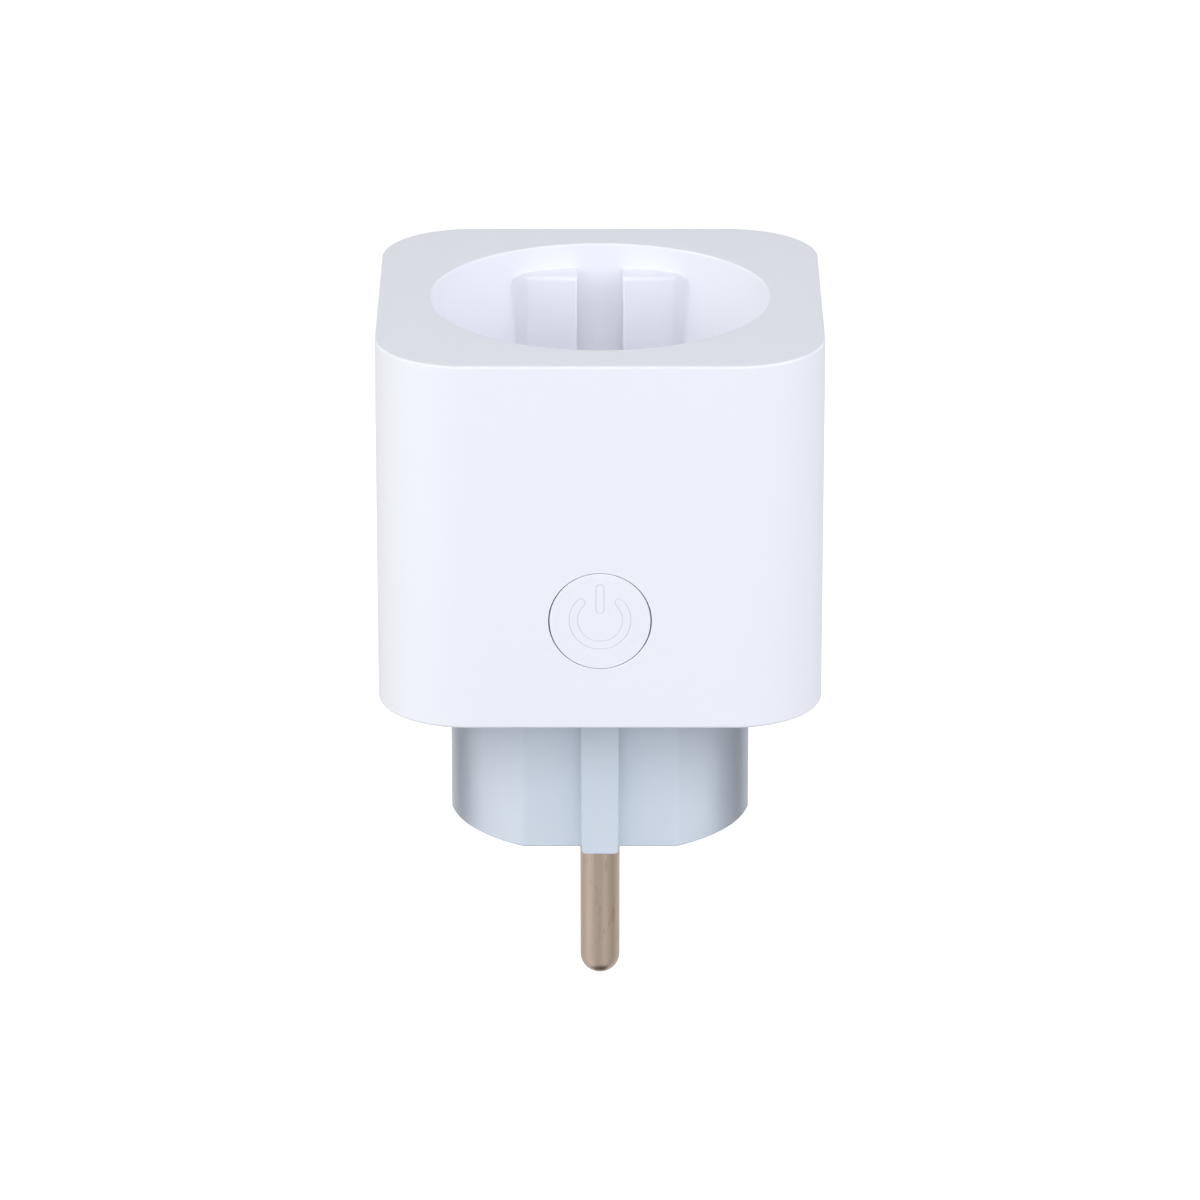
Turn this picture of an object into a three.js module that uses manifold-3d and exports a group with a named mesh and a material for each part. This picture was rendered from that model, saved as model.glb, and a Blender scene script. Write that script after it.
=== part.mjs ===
// A plug-in power meter with a pass-through socket, in millimetres.
// The origin is the centre of the plug's engaging face. +Z points away from the wall, towards the socket,
// the button is in the front, at -Y, and the two plug pins stand side by side along Y.
import * as THREE from "three";
import { mergeVertices } from "three/addons/utils/BufferGeometryUtils.js";
import Module from "manifold-3d";

const wasm = await Module();
wasm.setup();

// The casing: a square housing whose top holds the round socket recess.
const CASE_WIDTH = 53;
const CASE_CORNER = 10.8;
const CASE_BOTTOM = 19.6;
const CASE_TOP = CASE_BOTTOM + 45.2;
const WALL = 1.8;
const INSIDE = CASE_WIDTH / 2 - WALL;
const FRONT = -CASE_WIDTH / 2;

// The socket recess and what guides the appliance's plug in it.
const RECESS_RIM_RADIUS = 20.3;
const RECESS_FLOOR_RADIUS = 19.5;
const RECESS_DEPTH = 17.5;
const RECESS_FLOOR = CASE_TOP - RECESS_DEPTH;
const CUP_WALL = 1.6;
const CUP_BOTTOM = RECESS_FLOOR - 2;
const GUIDE_INNER_Y = 16.3;
const GUIDE_HALF_WIDTH = 10.9;
const GUIDE_TOP = CASE_TOP - 3;
const GUIDE_GROOVE = 5.6;
const SOCKET_HOLE_RADIUS = 3;

// The plug: a round body with two flats, a rib on each flat, and two round pins.
const PIN_SPACING = 19;
const PIN_Y = PIN_SPACING / 2;
const PIN_RADIUS = 2.4;
const PIN_LENGTH = 19;
const PLUG_RADIUS = 18.4;
const PLUG_FLAT_Y = 15.9;
const PLUG_WALL = 2;
const PLUG_FACE = 3;
const RIB_OUTER_Y = 18.2;
const RIB_FOOT_WIDTH = 4.7;
const RIB_TIP_WIDTH = 4.4;
const BASE_PLATE_TOP = 22;
const HOLLOW_HALF_X = 14.3;

// The earth strips run straight from the sides of the plug up into the recess.
const EARTH_INNER_X = 16.3;
const EARTH_THICKNESS = 0.8;
const EARTH_HALF_WIDTH = 2.9;
const EARTH_FOOT = 1;
const EARTH_CLIP_TOP = 58;
const EARTH_SLOT_LOW_X = 15.9;
const EARTH_SLOT_HIGH_X = 17.5;
const EARTH_SLOT_HALF_WIDTH = 3.3;
const EARTH_CHANNEL_TOP = 17;
const RIVET_Z = 23.9;

// The case screws and their bosses.
const BOSS_XY = 19.2;
const BOSS_RADIUS = 3.2;

// The boards, and the height at which parts stand on the main board.
const GAP = 0.3;
const BOARD_BOTTOM = 25;
const BOARD_TOP = 26.6;
const ON_BOARD = BOARD_TOP + GAP;
const CONTROL_BOARD_FRONT = -19.6;
const CONTROL_BOARD_BACK = -18.4;

// The button, the switch behind it, and the tower that holds the socket contacts.
const BUTTON_Z = CASE_BOTTOM + 13.6;
const BUTTON_RADIUS = 5.95;
const BUTTON_GAP = 0.15;
const CARRIER_TOP = 42.1;
const SHUTTER_BOTTOM = 42.5;
const SHUTTER_TOP = 44.8;

const CORNERS = [
  [1, 1],
  [-1, 1],
  [-1, -1],
  [1, -1],
];

// Solids

function toSolid(geometry) {
  const bare = geometry.index ? geometry.toNonIndexed() : geometry.clone();
  bare.deleteAttribute("normal");
  bare.deleteAttribute("uv");
  const merged = mergeVertices(bare, 1e-4);
  const vertProperties = merged.attributes.position.array;
  const triVerts = new Uint32Array(merged.index.array);
  return new wasm.Manifold(new wasm.Mesh({ numProp: 3, vertProperties, triVerts }));
}

function toGeometry(solid) {
  const { vertProperties, triVerts } = solid.getMesh();
  const geometry = new THREE.BufferGeometry();
  geometry.setAttribute("position", new THREE.BufferAttribute(vertProperties, 3));
  geometry.setIndex(new THREE.BufferAttribute(triVerts, 1));
  geometry.computeVertexNormals();
  return geometry;
}

function box([x0, x1], [y0, y1], [z0, z1]) {
  const geometry = new THREE.BoxGeometry(x1 - x0, y1 - y0, z1 - z0);
  return toSolid(geometry.translate((x0 + x1) / 2, (y0 + y1) / 2, (z0 + z1) / 2));
}

// A box from -x to x and from -y to y.
function centredBox(x, y, heights) {
  return box([-x, x], [-y, y], heights);
}

// A round bar. Its centre is given as (y, z) along x, (x, z) along y, and (x, y) along z.
function rod(axis, radius, [from, to], [u, v], sides = 24) {
  const geometry = new THREE.CylinderGeometry(radius, radius, to - from, sides);
  const middle = (from + to) / 2;
  if (axis === "x") geometry.rotateZ(-Math.PI / 2).translate(middle, u, v);
  if (axis === "y") geometry.translate(u, middle, v);
  if (axis === "z") geometry.rotateX(Math.PI / 2).translate(u, v, middle);
  return toSolid(geometry);
}

// An upright cone frustum on the z axis.
function frustum(lowRadius, highRadius, [z0, z1], sides = 64) {
  const geometry = new THREE.CylinderGeometry(highRadius, lowRadius, z1 - z0, sides);
  return toSolid(geometry.rotateX(Math.PI / 2).translate(0, 0, (z0 + z1) / 2));
}

// An outline in x and y, made thick from z0 to z1.
function slab(shape, [z0, z1], curveSegments = 5) {
  const options = { depth: z1 - z0, bevelEnabled: false, curveSegments };
  return toSolid(new THREE.ExtrudeGeometry(shape, options).translate(0, 0, z0));
}

// An outline in x and z, made thick from y0 to y1.
function profile(shape, [y0, y1], curveSegments = 8) {
  const options = { depth: y1 - y0, bevelEnabled: false, curveSegments };
  const geometry = new THREE.ExtrudeGeometry(shape, options);
  return toSolid(geometry.rotateX(Math.PI / 2).translate(0, y1, 0));
}

function polygon(points) {
  return new THREE.Shape(points.map(([u, v]) => new THREE.Vector2(u, v)));
}

function roundedSquare(halfWidth, radius) {
  const shape = new THREE.Shape();
  CORNERS.forEach(([x, y], quarter) => {
    const centre = halfWidth - radius;
    const start = (quarter * Math.PI) / 2;
    shape.absarc(x * centre, y * centre, radius, start, start + Math.PI / 2);
  });
  return shape;
}

function joined(first, ...others) {
  return others.reduce((solid, other) => solid.add(other), first);
}

function without(first, ...others) {
  return others.reduce((solid, other) => solid.subtract(other), first);
}

// Casing

// The two blocks in the recess, each with the groove that takes a rib of the appliance's plug.
function guideBlocks() {
  const heights = [RECESS_FLOOR - 1, GUIDE_TOP];
  const reach = RECESS_RIM_RADIUS + 1;
  return [-1, 1].map((side) => {
    const ends = [side * GUIDE_INNER_Y, side * reach].sort((a, b) => a - b);
    const lane = [ends[0] - 1, ends[1] + 1];
    const block = box([-GUIDE_HALF_WIDTH, GUIDE_HALF_WIDTH], ends, heights);
    const groove = [-GUIDE_GROOVE / 2, GUIDE_GROOVE / 2];
    return without(block, box(groove, lane, [heights[0] - 1, heights[1] + 1]));
  });
}

function screwBoss([x, y]) {
  const heights = [BASE_PLATE_TOP + GAP, CASE_TOP - 1];
  const reachX = [x * BOSS_XY, x * (INSIDE + 0.3)].sort((a, b) => a - b);
  const reachY = [y * BOSS_XY, y * (INSIDE + 0.3)].sort((a, b) => a - b);
  const web = 0.6;
  return joined(
    rod("z", BOSS_RADIUS, heights, [x * BOSS_XY, y * BOSS_XY]),
    box(reachX, [y * BOSS_XY - web, y * BOSS_XY + web], heights),
    box([x * BOSS_XY - web, x * BOSS_XY + web], reachY, heights),
  );
}

function casing() {
  const shell = slab(roundedSquare(CASE_WIDTH / 2, CASE_CORNER), [CASE_BOTTOM, CASE_TOP]);
  const hollow = slab(roundedSquare(INSIDE, CASE_CORNER - WALL), [CASE_BOTTOM - 1, CASE_TOP - WALL]);
  const cup = frustum(RECESS_FLOOR_RADIUS + CUP_WALL, RECESS_RIM_RADIUS + CUP_WALL, [CUP_BOTTOM, CASE_TOP - 1]);
  const recess = frustum(RECESS_FLOOR_RADIUS, RECESS_RIM_RADIUS, [RECESS_FLOOR, CASE_TOP]);
  const aboveRim = frustum(RECESS_RIM_RADIUS, RECESS_RIM_RADIUS, [CASE_TOP - 0.001, CASE_TOP + 1]);
  const body = joined(without(shell, hollow), cup, ...CORNERS.map(screwBoss));
  const pinHoles = [-PIN_Y, PIN_Y].map((y) =>
    rod("z", SOCKET_HOLE_RADIUS, [CUP_BOTTOM - 1, RECESS_FLOOR + 1], [0, y]),
  );
  const clipSlots = earthSlots([CUP_BOTTOM - 1, RECESS_FLOOR + 1]);
  const pilotHoles = CORNERS.map(([x, y]) =>
    rod("z", 1.25, [BASE_PLATE_TOP, 33], [x * BOSS_XY, y * BOSS_XY], 16),
  );
  const buttonHole = rod("y", BUTTON_RADIUS + BUTTON_GAP, [FRONT - 1, FRONT + WALL + 1], [0, BUTTON_Z], 48);
  return without(
    body,
    without(recess, ...guideBlocks()),
    aboveRim,
    ...pinHoles,
    ...clipSlots,
    ...pilotHoles,
    buttonHole,
  );
}

// Plug base

function plugOutline(radius, flatY) {
  const angle = Math.asin(flatY / radius);
  const shape = new THREE.Shape();
  shape.absarc(0, 0, radius, -angle, angle);
  shape.absarc(0, 0, radius, Math.PI - angle, Math.PI + angle);
  return shape;
}

function guideRib(side) {
  const foot = RIB_FOOT_WIDTH / 2;
  const tip = RIB_TIP_WIDTH / 2;
  const round = 0.5;
  const outline = polygon([
    [-foot, CASE_BOTTOM + 1],
    [-tip, round],
    [-tip + round, 0],
    [tip - round, 0],
    [tip, round],
    [foot, CASE_BOTTOM + 1],
  ]);
  const ends = [side * (PLUG_FLAT_Y - 1), side * RIB_OUTER_Y].sort((a, b) => a - b);
  return profile(outline, ends);
}

// The slots that let the two earth strips through.
function earthSlots(heights) {
  return [-1, 1].map((side) => {
    const across = [side * EARTH_SLOT_LOW_X, side * EARTH_SLOT_HIGH_X].sort((a, b) => a - b);
    return box(across, [-EARTH_SLOT_HALF_WIDTH, EARTH_SLOT_HALF_WIDTH], heights);
  });
}

function plugBase() {
  const body = slab(plugOutline(PLUG_RADIUS, PLUG_FLAT_Y), [0, CASE_BOTTOM + 1], 14);
  const plate = slab(roundedSquare(INSIDE - 0.2, CASE_CORNER - WALL - 0.2), [CASE_BOTTOM, BASE_PLATE_TOP]);
  const inside = slab(
    plugOutline(PLUG_RADIUS - PLUG_WALL, PLUG_FLAT_Y - PLUG_WALL),
    [PLUG_FACE, BASE_PLATE_TOP + 1],
  ).intersect(centredBox(HOLLOW_HALF_X, PLUG_RADIUS, [0, BASE_PLATE_TOP + 2]));
  const posts = CORNERS.map(([x, y]) =>
    rod("z", 1.6, [BASE_PLATE_TOP - 0.5, BOARD_BOTTOM - GAP], [x * 21, y * 10], 16),
  );
  const collars = [-PIN_Y, PIN_Y].map((y) =>
    without(
      rod("z", 4.6, [PLUG_FACE - 0.5, 6], [0, y]),
      rod("z", 3.7, [PLUG_FACE, 7], [0, y]),
    ),
  );
  const pinHoles = [-PIN_Y, PIN_Y].map((y) =>
    rod("z", PIN_RADIUS + 0.2, [-1, PLUG_FACE + 1], [0, y]),
  );
  const channels = [-1, 1].map((side) => {
    const across = [side * EARTH_SLOT_LOW_X, side * (PLUG_RADIUS + 1)].sort((a, b) => a - b);
    return box(across, [-EARTH_SLOT_HALF_WIDTH, EARTH_SLOT_HALF_WIDTH], [-1, EARTH_CHANNEL_TOP]);
  });
  const screwHoles = CORNERS.flatMap(([x, y]) => [
    rod("z", 2.45, [CASE_BOTTOM - 1, 21.3], [x * BOSS_XY, y * BOSS_XY]),
    rod("z", 1.4, [21, BASE_PLATE_TOP + 1], [x * BOSS_XY, y * BOSS_XY], 16),
  ]);
  const solid = joined(body, plate, guideRib(-1), guideRib(1), ...posts);
  const hollowed = joined(without(solid, inside), ...collars);
  const slots = earthSlots([-1, BASE_PLATE_TOP + 1]);
  return without(hollowed, ...pinHoles, ...channels, ...slots, ...screwHoles);
}

// Pins, screws and earth parts

// A plug pin with a round tip, a flange that holds it in the plug's face, and a tail to the main board.
function plugPin(y) {
  const points = [];
  const steps = 6;
  for (let i = 0; i <= steps; i++) {
    const angle = (i / steps) * (Math.PI / 2);
    const radius = i === 0 ? 0 : PIN_RADIUS * Math.sin(angle);
    points.push([radius, -PIN_LENGTH + PIN_RADIUS * (1 - Math.cos(angle))]);
  }
  points.push([PIN_RADIUS, PLUG_FACE + GAP]);
  points.push([3.4, PLUG_FACE + GAP]);
  points.push([3.4, 4.8]);
  points.push([PIN_RADIUS, 4.8]);
  points.push([PIN_RADIUS, 9]);
  points.push([1.2, 10]);
  points.push([1.2, 27]);
  points.push([0, 27]);
  const outline = points.map(([r, z]) => new THREE.Vector2(r, z));
  const geometry = new THREE.LatheGeometry(outline, 24);
  return toSolid(geometry.rotateX(Math.PI / 2).translate(0, y, 0));
}

function caseScrew([x, y]) {
  const centre = [x * BOSS_XY, y * BOSS_XY];
  const head = rod("z", 2.2, [CASE_BOTTOM + 0.3, 21.1], centre, 20);
  const shank = rod("z", 1.1, [21, 31], centre, 12);
  const slot = centredBox(1.4, 0.25, [CASE_BOTTOM, CASE_BOTTOM + 1]).translate([...centre, 0]);
  const cross = centredBox(0.25, 1.4, [CASE_BOTTOM, CASE_BOTTOM + 1]).translate([...centre, 0]);
  return without(joined(head, shank), slot, cross);
}

// A strip that is the plug's side contact at its foot and a sprung clip in the socket recess at its head.
function earthStrip(side) {
  const inner = EARTH_INNER_X;
  const outer = EARTH_INNER_X + EARTH_THICKNESS;
  const bow = 0.8;
  const outline = polygon(
    [
      [inner, EARTH_FOOT],
      [outer, EARTH_FOOT],
      [outer, RECESS_FLOOR + 2],
      [outer - bow, EARTH_CLIP_TOP - 3],
      [outer, EARTH_CLIP_TOP],
      [inner, EARTH_CLIP_TOP],
      [inner - bow, EARTH_CLIP_TOP - 3],
      [inner, RECESS_FLOOR + 2],
    ].map(([x, z]) => [side * x, z]),
  );
  const strip = profile(outline, [-EARTH_HALF_WIDTH, EARTH_HALF_WIDTH]);
  const reach = [side * (inner - 1), side * (outer + 1)].sort((a, b) => a - b);
  return without(strip, rod("x", 0.8, reach, [0, RIVET_Z], 12));
}

function earthBridge() {
  const low = BASE_PLATE_TOP + GAP;
  const high = BOARD_BOTTOM - GAP;
  const reach = EARTH_INNER_X - 0.4;
  const thickness = 0.6;
  const outline = polygon([
    [-reach, high],
    [-reach, low],
    [reach, low],
    [reach, high],
    [reach - thickness, high],
    [reach - thickness, low + thickness],
    [thickness - reach, low + thickness],
    [thickness - reach, high],
  ]);
  const strip = profile(outline, [-2.4, 2.4]);
  return without(strip, rod("x", 0.8, [-reach - 1, reach + 1], [0, RIVET_Z], 12));
}

function earthRivet(side) {
  const along = (a, b) => [side * a, side * b].sort((p, q) => p - q);
  const centre = [0, RIVET_Z];
  return joined(
    rod("x", 0.5, along(14.4, 17.9), centre, 12),
    rod("x", 0.8, along(14.4, 14.9), centre, 12),
    rod("x", 0.8, along(17.4, 17.9), centre, 12),
  );
}

// Button and switch

// The power symbol: a ring that is open at its top, and a bar in the opening.
function powerSymbol(depth) {
  const middle = 3.27;
  const half = 0.46;
  const opening = THREE.MathUtils.degToRad(40);
  const centreZ = BUTTON_Z + 0.23;
  const start = Math.PI / 2 - opening;
  const end = Math.PI / 2 + opening;
  const ring = new THREE.Shape();
  ring.absarc(0, centreZ, middle + half, start, end, true);
  ring.absarc(0, centreZ, middle - half, end, start, false);
  const bar = polygon([
    [-0.5, BUTTON_Z + 1],
    [0.5, BUTTON_Z + 1],
    [0.5, BUTTON_Z + 4.6],
    [0, BUTTON_Z + 4.9],
    [-0.5, BUTTON_Z + 4.6],
  ]);
  return [ring, bar].map((shape) => profile(shape, [FRONT - 1, FRONT + depth], 10));
}

function powerButton() {
  const centre = [0, BUTTON_Z];
  const cap = rod("y", BUTTON_RADIUS, [FRONT, FRONT + 2.9], centre, 48);
  const flange = rod("y", 6.9, [FRONT + 2.1, FRONT + 2.9], centre, 48);
  const hollow = rod("y", 4.9, [FRONT + 1.2, FRONT + 4], centre, 32);
  return without(joined(cap, flange), hollow, ...powerSymbol(0.2));
}

// It carries the lamp's light to the symbol, and its stem presses the switch.
function buttonLightGuide() {
  const centre = [0, BUTTON_Z];
  return joined(
    rod("y", 4.6, [FRONT + 1.5, FRONT + 2.5], centre, 32),
    rod("y", 1.4, [FRONT + 2, FRONT + 3.4], centre, 16),
  );
}

function tactSwitch() {
  const front = CONTROL_BOARD_FRONT - GAP - 2.2;
  const body = box([-3, 3], [front, CONTROL_BOARD_FRONT - GAP], [BUTTON_Z - 3, BUTTON_Z + 3]);
  return without(body, rod("y", 1.7, [front - 1, front + 1.7], [0, BUTTON_Z], 16));
}

function switchPlunger() {
  return rod("y", 1.45, [FRONT + 3.7, FRONT + 5.5], [0, BUTTON_Z], 16);
}

// Boards

function mainBoard() {
  const heights = [BOARD_BOTTOM, BOARD_TOP];
  const through = [BOARD_BOTTOM - 1, BOARD_TOP + 1];
  const plate = slab(roundedSquare(22.8, 7.6), heights, 3);
  const notches = CORNERS.map(([x, y]) => rod("z", BOSS_RADIUS + 0.5, through, [x * BOSS_XY, y * BOSS_XY]));
  const pinHoles = [-PIN_Y, PIN_Y].map((y) => rod("z", 1.6, through, [0, y], 16));
  const legHoles = [-PIN_Y, PIN_Y].flatMap((y) => [-3, 3].map((x) => rod("z", 0.8, through, [x, y], 12)));
  return without(plate, ...notches, ...pinHoles, ...legHoles, ...earthSlots(through));
}

function controlBoard() {
  return box([-15.4, 15.4], [CONTROL_BOARD_FRONT, CONTROL_BOARD_BACK], [ON_BOARD, 43]);
}

function wifiShield() {
  const back = CONTROL_BOARD_BACK + GAP;
  const can = box([-14, -3], [back, back + 2.2], [31, 42]);
  return without(can, box([-13.7, -3.3], [back - 1, back + 1.9], [31.3, 41.7]));
}

function boardHeader() {
  const back = CONTROL_BOARD_BACK + GAP;
  const strip = box([2.5, 14.5], [back, back + 2.4], [ON_BOARD, ON_BOARD + 2.5]);
  const pins = [];
  for (let i = 0; i < 6; i++) {
    const x = 3.25 + 2 * i;
    pins.push(box([x, x + 0.6], [back + 0.9, back + 1.5], [ON_BOARD + 2, ON_BOARD + 5]));
  }
  return joined(strip, ...pins);
}

function statusLed() {
  const back = CONTROL_BOARD_FRONT - GAP;
  return box([4.4, 6.4], [back - 0.7, back], [BUTTON_Z - 0.7, BUTTON_Z + 0.7]);
}

// Parts on the main board

function block([x, y], [width, depth, height]) {
  return box([x - width / 2, x + width / 2], [y - depth / 2, y + depth / 2], [ON_BOARD, ON_BOARD + height]);
}

// A chip with a row of legs on each long side.
function chip([x, y], [width, depth, height], legs) {
  const body = block([x, y], [width, depth, height]);
  const pitch = depth / legs;
  const feet = [];
  for (let i = 0; i < legs; i++) {
    const footY = y + (i + 0.5) * pitch - depth / 2;
    const foot = box(
      [x - width / 2 - 0.7, x + width / 2 + 0.7],
      [footY - 0.2, footY + 0.2],
      [ON_BOARD, ON_BOARD + height / 2],
    );
    feet.push(foot);
  }
  return joined(body, ...feet);
}

function canCapacitor(y) {
  return joined(
    rod("z", 4, [ON_BOARD, ON_BOARD + 1], [-11, y]),
    rod("z", 3.8, [ON_BOARD + 0.5, ON_BOARD + 1.5], [-11, y]),
    rod("z", 4, [ON_BOARD + 1.2, ON_BOARD + 12.5], [-11, y]),
  );
}

function varistor() {
  return joined(
    rod("x", 4.8, [-22, -18.6], [-10, 32.2], 24),
    rod("z", 0.35, [ON_BOARD, 30], [-20.3, -12.5], 8),
    rod("z", 0.35, [ON_BOARD, 30], [-20.3, -7.5], 8),
  );
}

function fuseResistor() {
  const x = -20.2;
  const z = 29.2;
  return joined(
    rod("y", 1.7, [6, 13], [x, z], 16),
    rod("y", 0.35, [4.6, 14.4], [x, z], 8),
    rod("z", 0.35, [ON_BOARD, z + 0.35], [x, 4.6], 8),
    rod("z", 0.35, [ON_BOARD, z + 0.35], [x, 14.4], 8),
  );
}

function powerInductor() {
  return joined(
    block([10, -7.5], [6, 6, 1]),
    rod("z", 2.4, [ON_BOARD + 0.5, ON_BOARD + 4.5], [10, -7.5]),
    block([10, -7.5], [6, 6, 4.6]).intersect(box([0, 20], [-20, 0], [ON_BOARD + 3.6, 40])),
  );
}

// Socket side

function contactCarrier() {
  const body = box([-5.2, 5.2], [-14.6, 14.6], [ON_BOARD, CARRIER_TOP]);
  const wells = [-PIN_Y, PIN_Y].flatMap((y) => [
    rod("z", 3.9, [ON_BOARD - 1, CARRIER_TOP - 0.8], [0, y], 32),
    rod("z", SOCKET_HOLE_RADIUS, [CARRIER_TOP - 1, CARRIER_TOP + 1], [0, y]),
  ]);
  const middle = centredBox(3.7, 4.2, [ON_BOARD - 1, CARRIER_TOP - 1.5]);
  const pivot = rod("z", 1.7, [CARRIER_TOP - 0.5, CUP_BOTTOM - GAP], [0, 0]);
  return joined(without(body, ...wells, middle), pivot);
}

// A sprung sleeve of four fingers, closed at its foot, with two legs in the main board.
function socketContact(y) {
  const sleeve = without(
    rod("z", 3.4, [27.3, 41], [0, y], 32),
    rod("z", PIN_RADIUS + 0.15, [28.1, 42], [0, y], 32),
  );
  const cuts = [
    box([-4, 4], [y - 0.4, y + 0.4], [31, 42]),
    box([-0.4, 0.4], [y - 4, y + 4], [31, 42]),
  ];
  const legs = [-3, 3].map((x) => rod("z", 0.5, [24.6, 27.6], [x, y], 12));
  return joined(without(sleeve, ...cuts), ...legs);
}

// A rotor whose two lobes cover the pin holes. Pins that press both ramps at once turn it aside.
function shutter() {
  const heights = [SHUTTER_BOTTOM, SHUTTER_TOP];
  const lobes = centredBox(3.3, 14, heights).intersect(rod("z", 13, heights, [0, 0], 48));
  const hub = rod("z", 5.2, heights, [0, 0], 32);
  const bore = rod("z", 1.9, [SHUTTER_BOTTOM - 1, SHUTTER_TOP + 1], [0, 0]);
  const pocket = rod("z", 3.5, [SHUTTER_BOTTOM + 0.7, SHUTTER_TOP + 1], [0, 0]);
  const ramps = [-1, 1].map((side) => {
    const outline = polygon([
      [side * -1, SHUTTER_TOP],
      [side * 4, SHUTTER_TOP - 1.9],
      [side * 4, SHUTTER_TOP + 1],
      [side * -1, SHUTTER_TOP + 1],
    ]);
    const ends = [side * 6, side * 14].sort((a, b) => a - b);
    return profile(outline, ends);
  });
  return without(joined(lobes, hub), bore, pocket, ...ramps);
}

class Helix extends THREE.Curve {
  constructor(radius, turns, [z0, z1]) {
    super();
    Object.assign(this, { radius, turns, z0, z1 });
  }

  getPoint(t, target = new THREE.Vector3()) {
    const angle = 2 * Math.PI * this.turns * t;
    const z = this.z0 + (this.z1 - this.z0) * t;
    return target.set(this.radius * Math.cos(angle), this.radius * Math.sin(angle), z);
  }
}

function shutterSpring() {
  const wire = new THREE.Shape().absarc(0, 0, 0.15, 0, 2 * Math.PI);
  const extrudePath = new Helix(2.6, 2.5, [SHUTTER_BOTTOM + 1, SHUTTER_TOP + 0.1]);
  return toSolid(new THREE.ExtrudeGeometry(wire, { steps: 40, extrudePath, curveSegments: 3 }));
}

// The assembly

const FINISHES = {
  white: { color: 0xf3f4fb, roughness: 0.3, metalness: 0 },
  plugGrey: { color: 0xcdd6de, roughness: 0.45, metalness: 0 },
  clear: { color: 0xeef2f5, roughness: 0.2, metalness: 0 },
  nickel: { color: 0xb8a898, roughness: 0.35, metalness: 1 },
  tin: { color: 0xc4c8cc, roughness: 0.4, metalness: 1 },
  brass: { color: 0xc9a24e, roughness: 0.35, metalness: 1 },
  board: { color: 0x1f6b3c, roughness: 0.5, metalness: 0 },
  black: { color: 0x222326, roughness: 0.5, metalness: 0 },
  carrier: { color: 0xdedbd2, roughness: 0.6, metalness: 0 },
  relayBlue: { color: 0x2b59a8, roughness: 0.4, metalness: 0 },
  filmYellow: { color: 0xe0b62c, roughness: 0.45, metalness: 0 },
  ceramicBlue: { color: 0x2d5f8f, roughness: 0.5, metalness: 0 },
  resistorGrey: { color: 0x9aa7a0, roughness: 0.6, metalness: 0 },
  ferrite: { color: 0x3a3a3c, roughness: 0.7, metalness: 0 },
};

const meter = new THREE.Group();

function addPart(name, finish, solid) {
  const mesh = new THREE.Mesh(toGeometry(solid), new THREE.MeshStandardMaterial(FINISHES[finish]));
  mesh.name = name;
  meter.add(mesh);
}

addPart("casing", "white", casing());
addPart("plug_base", "plugGrey", plugBase());
addPart("pin_line", "nickel", plugPin(-PIN_Y));
addPart("pin_neutral", "nickel", plugPin(PIN_Y));
CORNERS.forEach((corner, i) => addPart(`case_screw_${i + 1}`, "tin", caseScrew(corner)));
addPart("earth_strip_left", "tin", earthStrip(-1));
addPart("earth_strip_right", "tin", earthStrip(1));
addPart("earth_bridge", "tin", earthBridge());
addPart("earth_rivet_left", "brass", earthRivet(-1));
addPart("earth_rivet_right", "brass", earthRivet(1));
addPart("power_button", "white", powerButton());
addPart("button_light_guide", "clear", buttonLightGuide());
addPart("tact_switch", "black", tactSwitch());
addPart("switch_plunger", "carrier", switchPlunger());
addPart("control_board", "board", controlBoard());
addPart("wifi_shield", "tin", wifiShield());
addPart("board_header", "black", boardHeader());
addPart("status_led", "clear", statusLed());
addPart("main_board", "board", mainBoard());
addPart("relay", "relayBlue", block([10.7, 13.4], [10, 18.4, 15]));
addPart("bulk_capacitor_1", "black", canCapacitor(9.2));
addPart("bulk_capacitor_2", "black", canCapacitor(18));
addPart("x_capacitor", "filmYellow", block([-12.3, -9.2], [5, 11.4, 11]));
addPart("varistor", "ceramicBlue", varistor());
addPart("fuse_resistor", "resistorGrey", fuseResistor());
addPart("power_inductor", "ferrite", powerInductor());
addPart("bridge_rectifier", "black", chip([10, -0.8], [4, 4.9, 1.6], 2));
addPart("regulator_chip", "black", chip([10, -13.1], [4, 3.6, 1.5], 3));
addPart("metering_chip", "black", chip([20.2, -7], [3.4, 9.8, 1.6], 8));
addPart("current_shunt", "tin", block([20.2, 7.2], [3.2, 6.4, 0.8]));
addPart("contact_carrier", "carrier", contactCarrier());
addPart("socket_contact_line", "brass", socketContact(-PIN_Y));
addPart("socket_contact_neutral", "brass", socketContact(PIN_Y));
addPart("shutter", "carrier", shutter());
addPart("shutter_spring", "tin", shutterSpring());

export default meter;
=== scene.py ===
"""The looks of a plug-in power meter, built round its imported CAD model.

Shapes are written in millimetres in the CAD frame: +Z away from the wall, the button at the front (-Y).
"""

import math

import bmesh
import bpy
from mathutils import Matrix, Vector


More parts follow.
